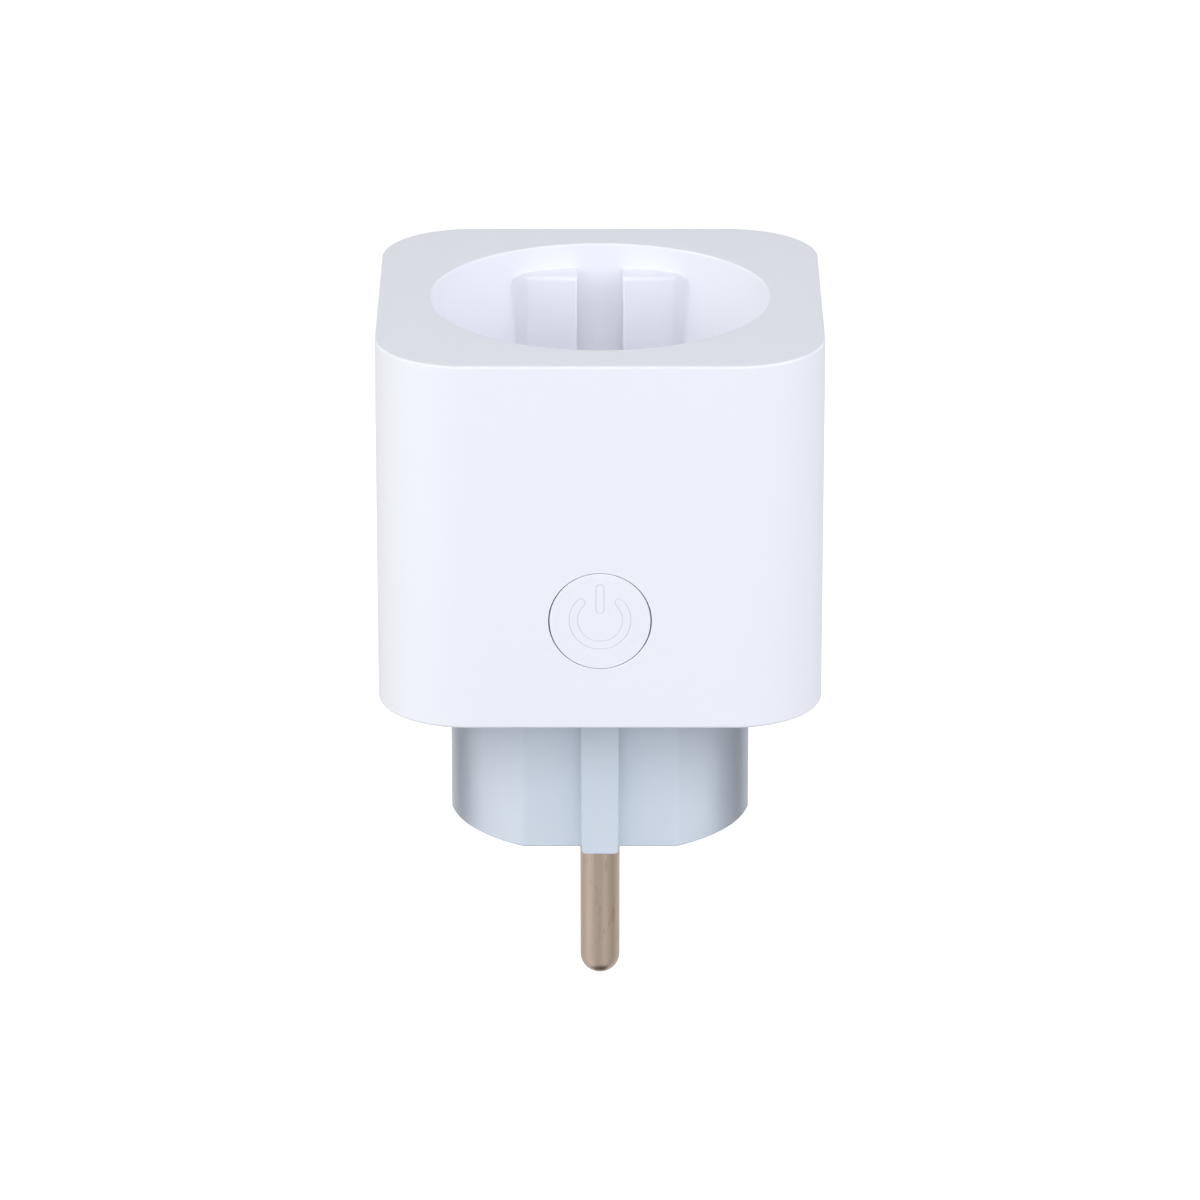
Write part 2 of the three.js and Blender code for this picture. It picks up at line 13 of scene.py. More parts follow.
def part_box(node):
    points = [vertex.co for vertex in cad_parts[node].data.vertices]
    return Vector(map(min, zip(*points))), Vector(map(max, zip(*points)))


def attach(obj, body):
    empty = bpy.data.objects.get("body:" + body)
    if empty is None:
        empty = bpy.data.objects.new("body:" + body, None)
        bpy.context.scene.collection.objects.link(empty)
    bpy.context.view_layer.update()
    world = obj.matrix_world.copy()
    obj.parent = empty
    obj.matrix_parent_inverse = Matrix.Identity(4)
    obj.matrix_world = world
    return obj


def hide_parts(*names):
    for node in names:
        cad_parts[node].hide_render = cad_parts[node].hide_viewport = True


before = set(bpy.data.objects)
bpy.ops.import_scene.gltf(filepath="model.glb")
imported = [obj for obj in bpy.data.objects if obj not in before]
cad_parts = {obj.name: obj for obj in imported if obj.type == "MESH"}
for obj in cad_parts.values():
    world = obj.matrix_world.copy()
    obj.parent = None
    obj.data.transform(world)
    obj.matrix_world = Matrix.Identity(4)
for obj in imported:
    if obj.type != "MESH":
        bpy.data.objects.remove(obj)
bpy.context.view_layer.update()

MM = 0.001
SHARP_ANGLE = math.radians(32)
CORNERS = [(1, 1), (-1, 1), (-1, -1), (1, -1)]
SIDES = (-1, 1)


def box_of(node):
    """The CAD node's lowest and highest corner, in millimetres."""
    low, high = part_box(node)
    return low / MM, high / MM


def spans(node, x=(0, 0), y=(0, 0), z=(0, 0)):
    """The CAD node's extent along x, y and z, less a margin at its low and at its high end."""
    low, high = box_of(node)
    return [(low[i] + start, high[i] - end) for i, (start, end) in enumerate((x, y, z))]


def about(middle, half):
    """The range that reaches this far to both sides of its middle."""
    return (middle - half, middle + half)


CASE_LOW, CASE_HIGH = box_of("casing")
HALF = CASE_HIGH.x
FRONT = CASE_LOW.y
CASE_BOTTOM, CASE_TOP = CASE_LOW.z, CASE_HIGH.z
CASE_CORNER = 10.8
WALL = 1.8
INSIDE = HALF - WALL

RIM_RADIUS = 20.3
FLOOR_RADIUS = 19.5
RECESS_FLOOR = CASE_TOP - 17.5
CUP_WALL = 1.6
CUP_BOTTOM = RECESS_FLOOR - 2
GUIDE_INNER_Y = 16.3
GUIDE_HALF_WIDTH = 10.9
GUIDE_HALF_GROOVE = 2.8
GUIDE_TOP = CASE_TOP - 3
PIN_Y = 9.5
PINS = [(0, side * PIN_Y) for side in SIDES]
PIN_HOLE = 3
SLOT_X = (15.9, 17.5)
SLOT_HALF = 3.3
BOSS_XY = 19.2
BOSSES = [(x * BOSS_XY, y * BOSS_XY) for x, y in CORNERS]
BOSS_RADIUS = 3.2

PLUG_RADIUS = 18.4
PLUG_FLAT = 15.9
PLUG_WALL = 2
PLUG_FACE = 3
RIB_OUTER = 18.2
PLATE_HALF = box_of("plug_base")[1].x
PLATE_TOP = 22
RIVET_Z = 23.9
RIVET_RADIUS = 0.8

BUTTON_LOW, BUTTON_HIGH = box_of("power_button")
BUTTON_Z = (BUTTON_LOW.z + BUTTON_HIGH.z) / 2
BUTTON_RADIUS = 5.95
BUTTON_GAP = 0.07
BUTTON_SIDE_GAP = 0.15
SYMBOL_RADIUS = 3.14
SYMBOL_ENDS = (136, 404)

BOARD_BOTTOM, BOARD_TOP = (corner.z for corner in box_of("main_board"))
SEAT = box_of("relay")[0].z
LEAD_RADIUS = 0.35
CONTACT_LEGS = (-3, 3)
CARRIER_TOP = 42.1


# Mesh kit

AXES = {
    "x": lambda u, v, h: (h, u, v),
    "y": lambda u, v, h: (u, h, v),
    "z": lambda u, v, h: (u, v, h),
}


def new_object(name, data):
    """An object in the scene that shows this mesh, light or camera."""
    obj = bpy.data.objects.new(name, data)
    bpy.context.scene.collection.objects.link(obj)
    return obj


def loft(name, rings, closed=False):
    """A skin over rings of equally many points, capped at both ends unless it is closed on itself.

    Coincident points are merged, and the faces are turned outwards.
    """
    count = len(rings[0])
    points = [point for ring in rings for point in ring]
    faces = []
    for i in range(len(rings) if closed else len(rings) - 1):
        here = i * count
        there = (i + 1) % len(rings) * count
        for k in range(count):
            n = (k + 1) % count
            faces.append((here + k, here + n, there + n, there + k))
    if not closed:
        for start in (0, len(points) - count):
            ring = [Vector(point) for point in points[start : start + count]]
            if max((point - ring[0]).length for point in ring) > 1e-4:
                faces.append(range(start, start + count))
    work = bmesh.new()
    corners = [work.verts.new(p) for p in points]
    for face in faces:
        work.faces.new([corners[i] for i in face])
    bmesh.ops.remove_doubles(work, verts=work.verts, dist=1e-5)
    bmesh.ops.recalc_face_normals(work, faces=work.faces)
    mesh = bpy.data.meshes.new(name)
    work.to_mesh(mesh)
    work.free()
    return new_object(name, mesh)


def rounded(points, steps=4, closed=False):
    """A polyline of (u, v) or (u, v, radius) points, with an arc at each corner that has a radius."""
    out = []
    for i, (u, v, *radius) in enumerate(points):
        here = Vector((u, v))
        if not radius or not radius[0] or not closed and i in (0, len(points) - 1):
            out.append(here)
            continue
        before = (Vector(points[i - 1][:2]) - here).normalized()
        after = (Vector(points[(i + 1) % len(points)][:2]) - here).normalized()
        half = before.angle(after) / 2
        centre = here + (before + after).normalized() * radius[0] / math.sin(half)
        first = here + before * radius[0] / math.tan(half) - centre
        last = here + after * radius[0] / math.tan(half) - centre
        start = math.atan2(first.y, first.x)
        sweep = (math.atan2(last.y, last.x) - start + math.pi) % math.tau - math.pi
        for k in range(steps + 1):
            angle = start + sweep * k / steps
            out.append(centre + radius[0] * Vector((math.cos(angle), math.sin(angle))))
    return out


def arc(centre, radius, start, end, steps):
    """Points on an arc, its angles in degrees."""
    angles = [math.radians(start + (end - start) * k / steps) for k in range(steps + 1)]
    return [Vector((centre[0] + radius * math.cos(a), centre[1] + radius * math.sin(a))) for a in angles]


def turned(points, u=1, v=1):
    """Points for rounded() on the other side of an axis, wherever a factor is -1."""
    return [(u * point[0], v * point[1], *point[2:]) for point in points]


def rectangle(x, y, radius=0.0):
    (x0, x1), (y0, y1) = x, y
    return [(x0, y0, radius), (x1, y0, radius), (x1, y1, radius), (x0, y1, radius)]


def anticlockwise(outline):
    area = sum(a.x * b.y - b.x * a.y for a, b in zip(outline, outline[1:] + outline[:1]))
    return outline if area > 0 else outline[::-1]


def inset(outline, distance):
    """An anticlockwise outline moved inwards, each point along the bisector of its two sides."""
    moved = []
    for i, here in enumerate(outline):
        before = (here - outline[i - 1]).normalized()
        after = (outline[(i + 1) % len(outline)] - here).normalized()
        inwards = Vector((-before.y - after.y, before.x + after.x))
        moved.append(here + inwards * 2 * distance / max(inwards.length_squared, 1.0))
    return moved


def prism(name, outline, heights, edges=(0, 0), axis="z", corners=4, steps=3):
    """An outline of points for rounded(), made thick. Its low and high edges are rounded by these radii."""
    outline = anticlockwise(rounded(outline, corners, closed=True))
    low, high = heights
    levels = []
    for end, radius, inwards in ((low, edges[0], 1), (high, edges[1], -1)):
        turns = [k / steps * math.pi / 2 for k in range(steps + 1)] if radius else [math.pi / 2]
        level = [(radius * (1 - math.sin(a)), end + inwards * radius * (1 - math.cos(a))) for a in turns]
        levels += level if inwards > 0 else level[::-1]
    at = AXES[axis]
    return loft(name, [[at(p.x, p.y, h) for p in inset(outline, d)] for d, h in levels])


def block(name, x, y, z, corner=0.0, edges=(0, 0), axis="z"):
    """A box with rounded upright corners along its axis and rounded ends."""
    sides = {"x": (y, z, x), "y": (x, z, y), "z": (x, y, z)}[axis]
    return prism(name, rectangle(sides[0], sides[1], corner), sides[2], edges, axis)


def lathe(name, profile, axis="z", centre=(0, 0), sides=64, closed=False, steps=4):
    """A profile of points for rounded(), as radius and height, turned round an axis through the centre."""
    at = AXES[axis]
    u, v = centre
    turns = [math.tau * k / sides for k in range(sides)]
    profile = rounded(profile, steps, closed)
    rings = [[at(u + r * math.cos(a), v + r * math.sin(a), h) for a in turns] for r, h in profile]
    return loft(name, rings, closed)


def rod(name, radius, heights, edges=(0, 0), axis="z", centre=(0, 0), sides=24):
    """A turned cylinder, with the edges of its low and its high end rounded by these radii."""
    low, high = heights
    profile = [(0, low), (radius, low, edges[0]), (radius, high, edges[1]), (0, high)]
    return lathe(name, profile, axis, centre, sides)


def lead(name, path, sides=12):
    """A round wire along a path of 3-D points."""
    path = [Vector(p) for p in path]
    turns = [math.tau * k / sides for k in range(sides)]
    rings = []
    side = Vector((0.3, 0.5, 0.8))
    for i, here in enumerate(path):
        along = (path[min(i + 1, len(path) - 1)] - path[max(i - 1, 0)]).normalized()
        side = (side - along * side.dot(along)).normalized()
        up = along.cross(side)
        rings.append([here + LEAD_RADIUS * (side * math.cos(a) + up * math.sin(a)) for a in turns])
    return loft(name, rings)


def bent(points, radius, steps=5):
    """A 3-D path with its corners rounded by quadratic curves that start this far from each corner."""
    points = [Vector(p) for p in points]
    path = [points[0]]
    for before, here, after in zip(points, points[1:], points[2:]):
        start = here + (before - here).normalized() * radius
        end = here + (after - here).normalized() * radius
        for k in range(steps + 1):
            t = k / steps
            path.append(start * (1 - t) ** 2 + here * 2 * t * (1 - t) + end * t**2)
    return path + [points[-1]]


def combine(operation, body, tools):
    """The body after a boolean with each tool in turn. The tools are used up."""
    for tool in tools:
        modifier = body.modifiers.new("combine", "BOOLEAN")
        modifier.operation = operation
        modifier.object = tool
        modifier.solver = "EXACT"
    graph = bpy.context.evaluated_depsgraph_get()
    mesh = bpy.data.meshes.new_from_object(body.evaluated_get(graph))
    body.modifiers.clear()
    body.data = mesh
    for tool in tools:
        bpy.data.objects.remove(tool)
    return body


def join(body, *tools):
    return combine("UNION", body, tools)


def cut(body, *tools):
    return combine("DIFFERENCE", body, tools)


def common(body, *tools):
    return combine("INTERSECT", body, tools)


def group(body, *others):
    """One piece made of several closed shells that only touch or pass through each other."""
    work = bmesh.new()
    for obj in (body, *others):
        work.from_mesh(obj.data)
    work.to_mesh(body.data)
    work.free()
    for obj in others:
        bpy.data.objects.remove(obj)
    return body


def drill(radius, ends, flare=0.0, axis="z", centre=(0, 0), sides=48):
    """A tool for a round hole. Its second end lies in the surface, where a flare rounds the hole's rim."""
    deep, surface = ends
    out = 1 if surface > deep else -1
    neck = Vector((radius, surface - out * flare))
    profile = [(0, deep), (radius, deep), neck]
    if flare:
        turns = [k * math.pi / 8 for k in (1, 2, 3, 4)]
        profile += [neck + flare * Vector((1 - math.cos(a), math.sin(a) * out)) for a in turns]
    profile += [(radius + flare, surface + out), (0, surface + out)]
    return lathe("tool", profile, axis, centre, sides)


def place(obj, finish, *nodes, body="housing", slot=None):
    """Turns a piece in millimetres into one in metres that stands for CAD nodes and rides on their body."""
    obj.data.transform(Matrix.Scale(MM, 4))
    obj.data.polygons.foreach_set("use_smooth", [True] * len(obj.data.polygons))
    obj.data.set_sharp_from_angle(angle=SHARP_ANGLE)
    normals = obj.modifiers.new("normals", "WEIGHTED_NORMAL")
    normals.keep_sharp = True
    obj.data.materials.append(finish)
    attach(obj, body)
    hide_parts(*nodes)


# Materials


def add(tree, kind, inputs=None, **settings):
    """A shader node with its settings, and its inputs set to values or linked to sockets."""
    node = tree.nodes.new("ShaderNode" + kind)
    for key, value in settings.items():
        setattr(node, key, value)
    for key, value in (inputs or {}).items():
        if isinstance(value, bpy.types.NodeSocket):
            tree.links.new(value, node.inputs[key])
        else:
            node.inputs[key].default_value = value
    return node


def maths(tree, operation, *values):
    return add(tree, "Math", dict(enumerate(values)), operation=operation).outputs[0]


def new_material(name, roughness=0.5, metallic=0.0):
    material = bpy.data.materials.new(name)
    material.use_nodes = True
    tree = material.node_tree
    shader = tree.nodes["Principled BSDF"]
    shader.inputs["Roughness"].default_value = roughness
    shader.inputs["Metallic"].default_value = metallic
    return material, tree, shader


def grain(tree, size, stretch=(1, 1, 1), detail=3.0, shift=0.0):
    """Noise whose features are about this many millimetres wide, and longer along stretched axes."""
    position = add(tree, "TexCoord").outputs["Object"]
    scale = [1 / (size * MM * s) for s in stretch]
    mapping = add(tree, "Mapping", {"Vector": position, "Scale": scale, "Location": (shift, shift, shift)})
    noise = add(tree, "TexNoise", {"Vector": mapping.outputs[0], "Scale": 1.0, "Detail": detail})
    return noise.outputs[0]


def ramp(tree, factor, stops):
    """Colours along a factor: a list of (position, colour)."""
    node = add(tree, "ValToRGB", {"Fac": factor})
    elements = node.color_ramp.elements
    while len(elements) < len(stops):
        elements.new(0.5)
    for element, (position, colour) in zip(elements, stops):
        element.position = position
        element.color = (*colour, 1)
    return node.outputs[0]


def scaled(tree, value, low, high):
    """Noise, which mostly lies between 0.3 and 0.7, spread over this range."""
    inputs = {"Value": value, "From Min": 0.3, "From Max": 0.7, "To Min": low, "To Max": high}
    return add(tree, "MapRange", inputs).outputs[0]


def shade(colour, factor):
    return [min(1.0, c * factor) for c in colour]


def link_bump(tree, shader, height, depth):
    """Relief of this depth, in millimetres."""
    bump = add(tree, "Bump", {"Height": height, "Distance": depth * MM, "Strength": 1.0})
    tree.links.new(bump.outputs[0], shader.inputs["Normal"])


def moulded(name, colour, roughness=0.35, spread=0.05, mottle=0.015, cloud=9, texture=0.16, depth=0.004):
    """Moulded plastic: a faint cloudiness, an eroded mould's fine texture, and slightly uneven gloss."""
    material, tree, shader = new_material(name)
    clouds = grain(tree, cloud)
    tones = [(0.3, shade(colour, 1 - mottle)), (0.7, shade(colour, 1 + mottle))]
    tree.links.new(ramp(tree, clouds, tones), shader.inputs["Base Color"])
    gloss = scaled(tree, grain(tree, 2.5, shift=7), roughness - spread, roughness + spread)
    tree.links.new(gloss, shader.inputs["Roughness"])
    link_bump(tree, shader, grain(tree, texture, detail=2), depth)
    return material


def metal(name, colour, roughness, stretch, size, mottle, depth=0.003, stain=None):
    """Drawn or plated metal: fine lines along the stretched axis, uneven gloss and, if given, a stain."""
    material, tree, shader = new_material(name, metallic=1.0)
    lines = grain(tree, size, stretch, detail=4)
    tones = [(0.25, shade(colour, 1 - mottle)), (0.75, shade(colour, 1 + mottle))]
    base = ramp(tree, lines, tones)
    if stain:
        blots = grain(tree, 0.9, (1, 1, 3), detail=5, shift=3)
        spots = ramp(tree, blots, [(0.56, (0, 0, 0)), (0.74, (1, 1, 1))])
        mixed = add(tree, "MixRGB", {"Fac": spots, "Color1": base, "Color2": (*stain, 1)})
        base = mixed.outputs[0]
    tree.links.new(base, shader.inputs["Base Color"])
    gloss = scaled(tree, grain(tree, size * 4, stretch, shift=5), roughness * 0.9, roughness * 1.1)
    tree.links.new(gloss, shader.inputs["Roughness"])
    link_bump(tree, shader, lines, depth)
    return material


def clear_plastic(name, colour):
    material, tree, shader = new_material(name, roughness=0.25)
    clouds = grain(tree, 1.5)
    tones = [(0.3, shade(colour, 0.96)), (0.7, colour)]
    tree.links.new(ramp(tree, clouds, tones), shader.inputs["Base Color"])
    shader.inputs["Transmission Weight"].default_value = 0.7
    shader.inputs["IOR"].default_value = 1.49
    link_bump(tree, shader, grain(tree, 0.3), 0.002)
    return material


def circuit_board(name):
    """Green solder mask over copper: traces show through as lighter, squared bands."""
    material, tree, shader = new_material(name, roughness=0.35)
    mask, over_copper = (0.014, 0.1, 0.036), (0.022, 0.145, 0.052)
    position = add(tree, "TexCoord").outputs["Object"]
    mapping = add(tree, "Mapping", {"Vector": position, "Scale": (1 / MM, 1 / MM, 1 / MM)})
    cells = {"Vector": mapping.outputs[0], "Scale": 0.16, "Randomness": 1.0}
    traces = add(tree, "TexVoronoi", cells, distance="CHEBYCHEV", feature="F1")
    bands = maths(tree, "MULTIPLY", traces.outputs["Distance"], 14.0)
    edge = maths(tree, "PINGPONG", bands, 1.0)
    tones = [(0.0, mask), (0.5, mask), (0.62, over_copper)]
    tree.links.new(ramp(tree, edge, tones), shader.inputs["Base Color"])
    link_bump(tree, shader, edge, 0.02)
    shader.inputs["Coat Weight"].default_value = 0.3
    return material


CASING_WHITE = (0.87, 0.88, 0.93)
PLUG_GREY = (0.65, 0.708, 0.78)
PIN_STAIN = (0.57, 0.44, 0.34)
POLISHED = {"roughness": 0.3, "spread": 0.01, "mottle": 0.003, "cloud": 24, "texture": 0.3, "depth": 1e-4}

white = moulded("casing_white_plastic", CASING_WHITE, **POLISHED)
cap_white = moulded("button_white_plastic", CASING_WHITE, **POLISHED)
grey = moulded("plug_grey_plastic", PLUG_GREY, 0.45, texture=0.14, depth=0.004)
light_guide = clear_plastic("light_guide_plastic", (0.93, 0.95, 0.97))
nickel = metal("pin_nickel_plate", (0.7, 0.56, 0.455), 0.24, (1, 1, 30), 0.3, 0.05, 0.001, PIN_STAIN)
tin = metal("earth_tin_plate", (0.72, 0.71, 0.68), 0.34, (1, 1, 14), 0.15, 0.06)
steel = metal("screw_steel", (0.62, 0.62, 0.63), 0.32, (1, 1, 1), 0.25, 0.06)
spring_wire = metal("spring_wire_steel", (0.6, 0.6, 0.61), 0.25, (1, 1, 1), 0.1, 0.05)
shield = metal("shield_steel", (0.7, 0.7, 0.7), 0.35, (10, 1, 1), 0.2, 0.05)
solder = metal("solder_tin", (0.68, 0.69, 0.7), 0.22, (1, 1, 1), 0.3, 0.05)
copper = metal("winding_copper", (0.7, 0.32, 0.14), 0.25, (1, 1, 1), 0.15, 0.06)
brass = metal("contact_brass", (0.74, 0.53, 0.22), 0.32, (1, 1, 14), 0.15, 0.08)
cream = moulded("contact_carrier_plastic", (0.72, 0.69, 0.6), 0.5)
shutter_grey = moulded("shutter_plastic", (0.62, 0.64, 0.66), 0.45)
black = moulded("black_plastic", (0.022, 0.022, 0.024), 0.5, mottle=0.15)
epoxy = moulded("chip_epoxy", (0.018, 0.018, 0.02), 0.6, mottle=0.2, texture=0.08, depth=0.006)
board = circuit_board("circuit_board_green")
sleeve = moulded("capacitor_sleeve", (0.02, 0.025, 0.05), 0.3, mottle=0.1, depth=0.001)
relay_blue = moulded("relay_blue_plastic", (0.03, 0.1, 0.42), 0.3)
film_yellow = moulded("film_capacitor_yellow", (0.68, 0.4, 0.03), 0.35)
varistor_blue = moulded("varistor_lacquer", (0.03, 0.12, 0.32), 0.28, mottle=0.06, texture=0.9, depth=0.03)
resistor_grey = moulded("resistor_lacquer", (0.28, 0.36, 0.33), 0.45, mottle=0.05)
ferrite = moulded("ferrite", (0.035, 0.034, 0.036), 0.7, mottle=0.2, texture=0.1, depth=0.012)
led = clear_plastic("led_resin", (0.93, 0.9, 0.7))


# Casing


def square_directions(side_steps=32, corner_steps=24):
    """Angles round the casing's outline, closer together along its corners."""
    edge = math.atan2(HALF - CASE_CORNER, HALF)
    corner = math.pi / 2 - 2 * edge
    angles = []
    for quarter in range(4):
        turn = quarter * math.pi / 2
        angles += [turn - edge + 2 * edge * i / side_steps for i in range(side_steps)]
        angles += [turn + edge + corner * i / corner_steps for i in range(corner_steps)]
    return angles


DIRECTIONS = square_directions()


def circle_ring(radius, z):
    return [(radius * math.cos(a), radius * math.sin(a), z) for a in DIRECTIONS]


def square_ring(indent, z):
    """The casing's outline moved inwards, met by a ray at each direction."""
    half = HALF - indent
    radius = CASE_CORNER - indent
    centre = half - radius
    ring = []
    for a in DIRECTIONS:
        ray = Vector((math.cos(a), math.sin(a)))
        wide = Vector((abs(ray.x), abs(ray.y)))
        reach = half / max(wide)
        if min(wide) * reach > centre:
            along = (wide.x + wide.y) * centre
            reach = along + math.sqrt(along**2 - 2 * centre**2 + radius**2)
        ring.append((ray.x * reach, ray.y * reach, z))
    return ring


def casing_shell():
    """The moulding's skin, from the recess floor over the rim, down the outside and back up inside."""
    recess = [
        (FLOOR_RADIUS - 1, RECESS_FLOOR), (FLOOR_RADIUS, RECESS_FLOOR, 0.5),
        (RIM_RADIUS, CASE_TOP, 0.22), (RIM_RADIUS + 1, CASE_TOP),
    ]
    outside = [
        (1, CASE_TOP), (0, CASE_TOP, 0.3), (0, CASE_BOTTOM, 0.35), (WALL, CASE_BOTTOM, 0.15),
        (WALL, CASE_TOP - WALL, 0.8), (WALL + 1.5, CASE_TOP - WALL),
    ]
    cup = [(RIM_RADIUS + CUP_WALL, CASE_TOP - WALL), (FLOOR_RADIUS + CUP_WALL, CUP_BOTTOM)]
    rings = [circle_ring(r, z) for r, z in rounded(recess, steps=6)]
    rings += [square_ring(d, z) for d, z in rounded(outside, steps=5)]
    rings += [circle_ring(r, z) for r, z in cup]
    return loft("casing_moulding", rings)


def guide_block(side_x, side_y):
    """Half of one guide in the recess, beside the groove for the rib of an appliance's plug."""
    bottom = RECESS_FLOOR - 1
    wall, in_cup = 20.17, 21
    edge = GUIDE_HALF_WIDTH - 0.2
    foot = Vector((edge, math.sqrt(wall**2 - edge**2)))
    in_wall = foot + 2 * Vector((foot.y, -foot.x)) / wall
    back = math.degrees(math.atan2(in_wall.y, in_wall.x))
    groove = math.degrees(math.acos(GUIDE_HALF_GROOVE / in_cup))
    plan = [
        (GUIDE_HALF_GROOVE, GUIDE_INNER_Y, 0.3), (GUIDE_HALF_WIDTH - 2.3, GUIDE_INNER_Y, 4),
        (*foot, 2), in_wall, *arc((0, 0), in_cup, back, groove, 4),
    ]
    body = prism("guide", turned(plan, side_x, side_y), (bottom, GUIDE_TOP), corners=6)
    inner, outer, far = GUIDE_INNER_Y - 1e-3, GUIDE_HALF_WIDTH + 0.1, 23
    below, top = bottom - 1, GUIDE_TOP + 0.01
    from_side = [(inner, below), (inner, top, 0.7), (far, top), (far, below)]
    from_side = turned(from_side, side_y)
    from_front = [(0, below), (0, top), (outer, top, 2), (outer, below)]
    from_front = turned(from_front, side_x)
    return common(
        body,
        prism("tool", from_side, sorted((side_x * 0.5, side_x * 14)), axis="x", corners=6),
        prism("tool", from_front, sorted((side_y * 14, side_y * 24)), axis="y", corners=6),
    )


def screw_boss(x, y):
    """A post for a case screw, held to the casing's walls by two webs."""
    low, high = PLATE_TOP + 0.3, CASE_TOP - 1
    centre = (x * BOSS_XY, y * BOSS_XY)
    post = rod("boss", BOSS_RADIUS, (low, high), (0.2, 0), "z", centre, 40)
    web = 0.6
    web_x = sorted((centre[0], x * (INSIDE + 0.3)))
    web_y = sorted((centre[1], y * (INSIDE + 0.3)))
    return join(
        post,
        block("web", web_x, about(centre[1], web), (low, high)),
        block("web", about(centre[0], web), web_y, (low, high)),
    )


def slot_tool(side, heights):
    across = sorted((side * SLOT_X[0], side * SLOT_X[1]))
    return block("tool", across, (-SLOT_HALF, SLOT_HALF), heights, 0.25)


def casing():
    guides = [guide_block(x, y) for x in SIDES for y in SIDES]
    bosses = [screw_boss(x, y) for x, y in CORNERS]
    shell = join(casing_shell(), *guides, *bosses)
    holes = [drill(PIN_HOLE, (CUP_BOTTOM - 1, RECESS_FLOOR), 0.4, centre=pin) for pin in PINS]
    holes += [slot_tool(side, (CUP_BOTTOM - 1, RECESS_FLOOR + 1)) for side in SIDES]
    pilot, pilot_end = 1.25, 33
    holes += [drill(pilot, (pilot_end, PLATE_TOP + 0.3), 0.2, centre=boss, sides=24) for boss in BOSSES]
    opening = drill(BUTTON_RADIUS + BUTTON_GAP, (FRONT + WALL + 1, FRONT), 0.05, "y", (0, BUTTON_Z), 96)
    widening = (BUTTON_RADIUS + BUTTON_SIDE_GAP) / (BUTTON_RADIUS + BUTTON_GAP)
    opening.data.transform(Matrix.Scale(widening, 4, Vector((1, 0, 0))))
    place(cut(shell, *holes, opening), white, "casing")


# Button


def stroke(path, half, cap_steps=10):
    """The outline of a line of this half width along a path, with round ends."""
    path = [Vector(p) for p in path]
    sides = ([], [])
    for i, here in enumerate(path):
        along = (path[min(i + 1, len(path) - 1)] - path[max(i - 1, 0)]).normalized()
        across = Vector((-along.y, along.x)) * half
        sides[0].append(here + across)
        sides[1].append(here - across)
    first = math.degrees(math.atan2(*(path[1] - path[0]).yx))
    last = math.degrees(math.atan2(*(path[-1] - path[-2]).yx))
    end_cap = arc(path[-1], half, last + 90, last - 90, cap_steps)[1:-1]
    start_cap = arc(path[0], half, first - 90, first - 270, cap_steps)[1:-1]
    return sides[0] + end_cap + sides[1][::-1] + start_cap


def power_symbol(spread, heights):
    """A ring, open at its top, and a bar in the opening. Spread thins both lines on each side."""
    ring = arc((0, BUTTON_Z + 0.15), SYMBOL_RADIUS, *SYMBOL_ENDS, 48)
    bar = [(0, BUTTON_Z + z) for z in (1.5, 3, 4.15)]
    lines = [stroke(ring, 0.52 - spread), stroke(bar, 0.5 - spread)]
    return [prism("symbol", line, heights, axis="y") for line in lines]


def button():
    """The cap, its symbol inlaid as separate strokes in a groove, and the lens behind it."""
    centre = (0, BUTTON_Z)
    flange, bore, back = 6.9, 4.9, FRONT + 2.9
    profile = [
        (0, FRONT), (BUTTON_RADIUS, FRONT, 0.06), (BUTTON_RADIUS, FRONT + 2.1),
        (flange, FRONT + 2.1, 0.15), (flange, back, 0.15), (bore, back, 0.1),
        (bore, FRONT + 1.2, 0.4), (0, FRONT + 1.2),
    ]
    cap = lathe("button_cap", profile, "y", centre, 96)
    cut(cap, *power_symbol(0, (FRONT - 1, FRONT + 0.2)))
    inlays = power_symbol(0.032, (FRONT + 0.03, FRONT + 0.4))
    place(group(cap, *inlays), cap_white, "power_button", body="button")
    lens, stem = 4.6, 1.4
    profile = [
        (0, FRONT + 1.5), (lens, FRONT + 1.5, 0.2), (lens, FRONT + 2.5, 0.15),
        (stem, FRONT + 2.5, 0.3), (stem, FRONT + 3.4, 0.15), (0, FRONT + 3.4),
    ]
    guide = lathe("button_lens", profile, "y", centre, 64)
    place(guide, light_guide, "button_light_guide", body="button")


# Plug


def plug_outline(radius, flat, blend=1.0):
    """A circle with two flats, front and back."""
    limit = math.degrees(math.asin(flat / radius))
    points = []
    for start in (-limit, 180 - limit):
        curve = arc((0, 0), radius, start, start + 2 * limit, 64)
        points += [(*curve[0], blend), *curve[1:-1], (*curve[-1], blend)]
    return points


def guide_rib(side):
    """The rib on one flat of the plug body, a little wider towards the plate."""
    foot, root = 2.2, 2.35
    outline = [(-root, CASE_BOTTOM + 1), (-foot, 0, 0.5), (foot, 0, 0.5), (root, CASE_BOTTOM + 1)]
    ends = sorted((side * (PLUG_FLAT - 1), side * RIB_OUTER))
    edges = (0, 0.18) if side > 0 else (0.18, 0)
    return prism("rib", outline, ends, edges, "y", corners=5)


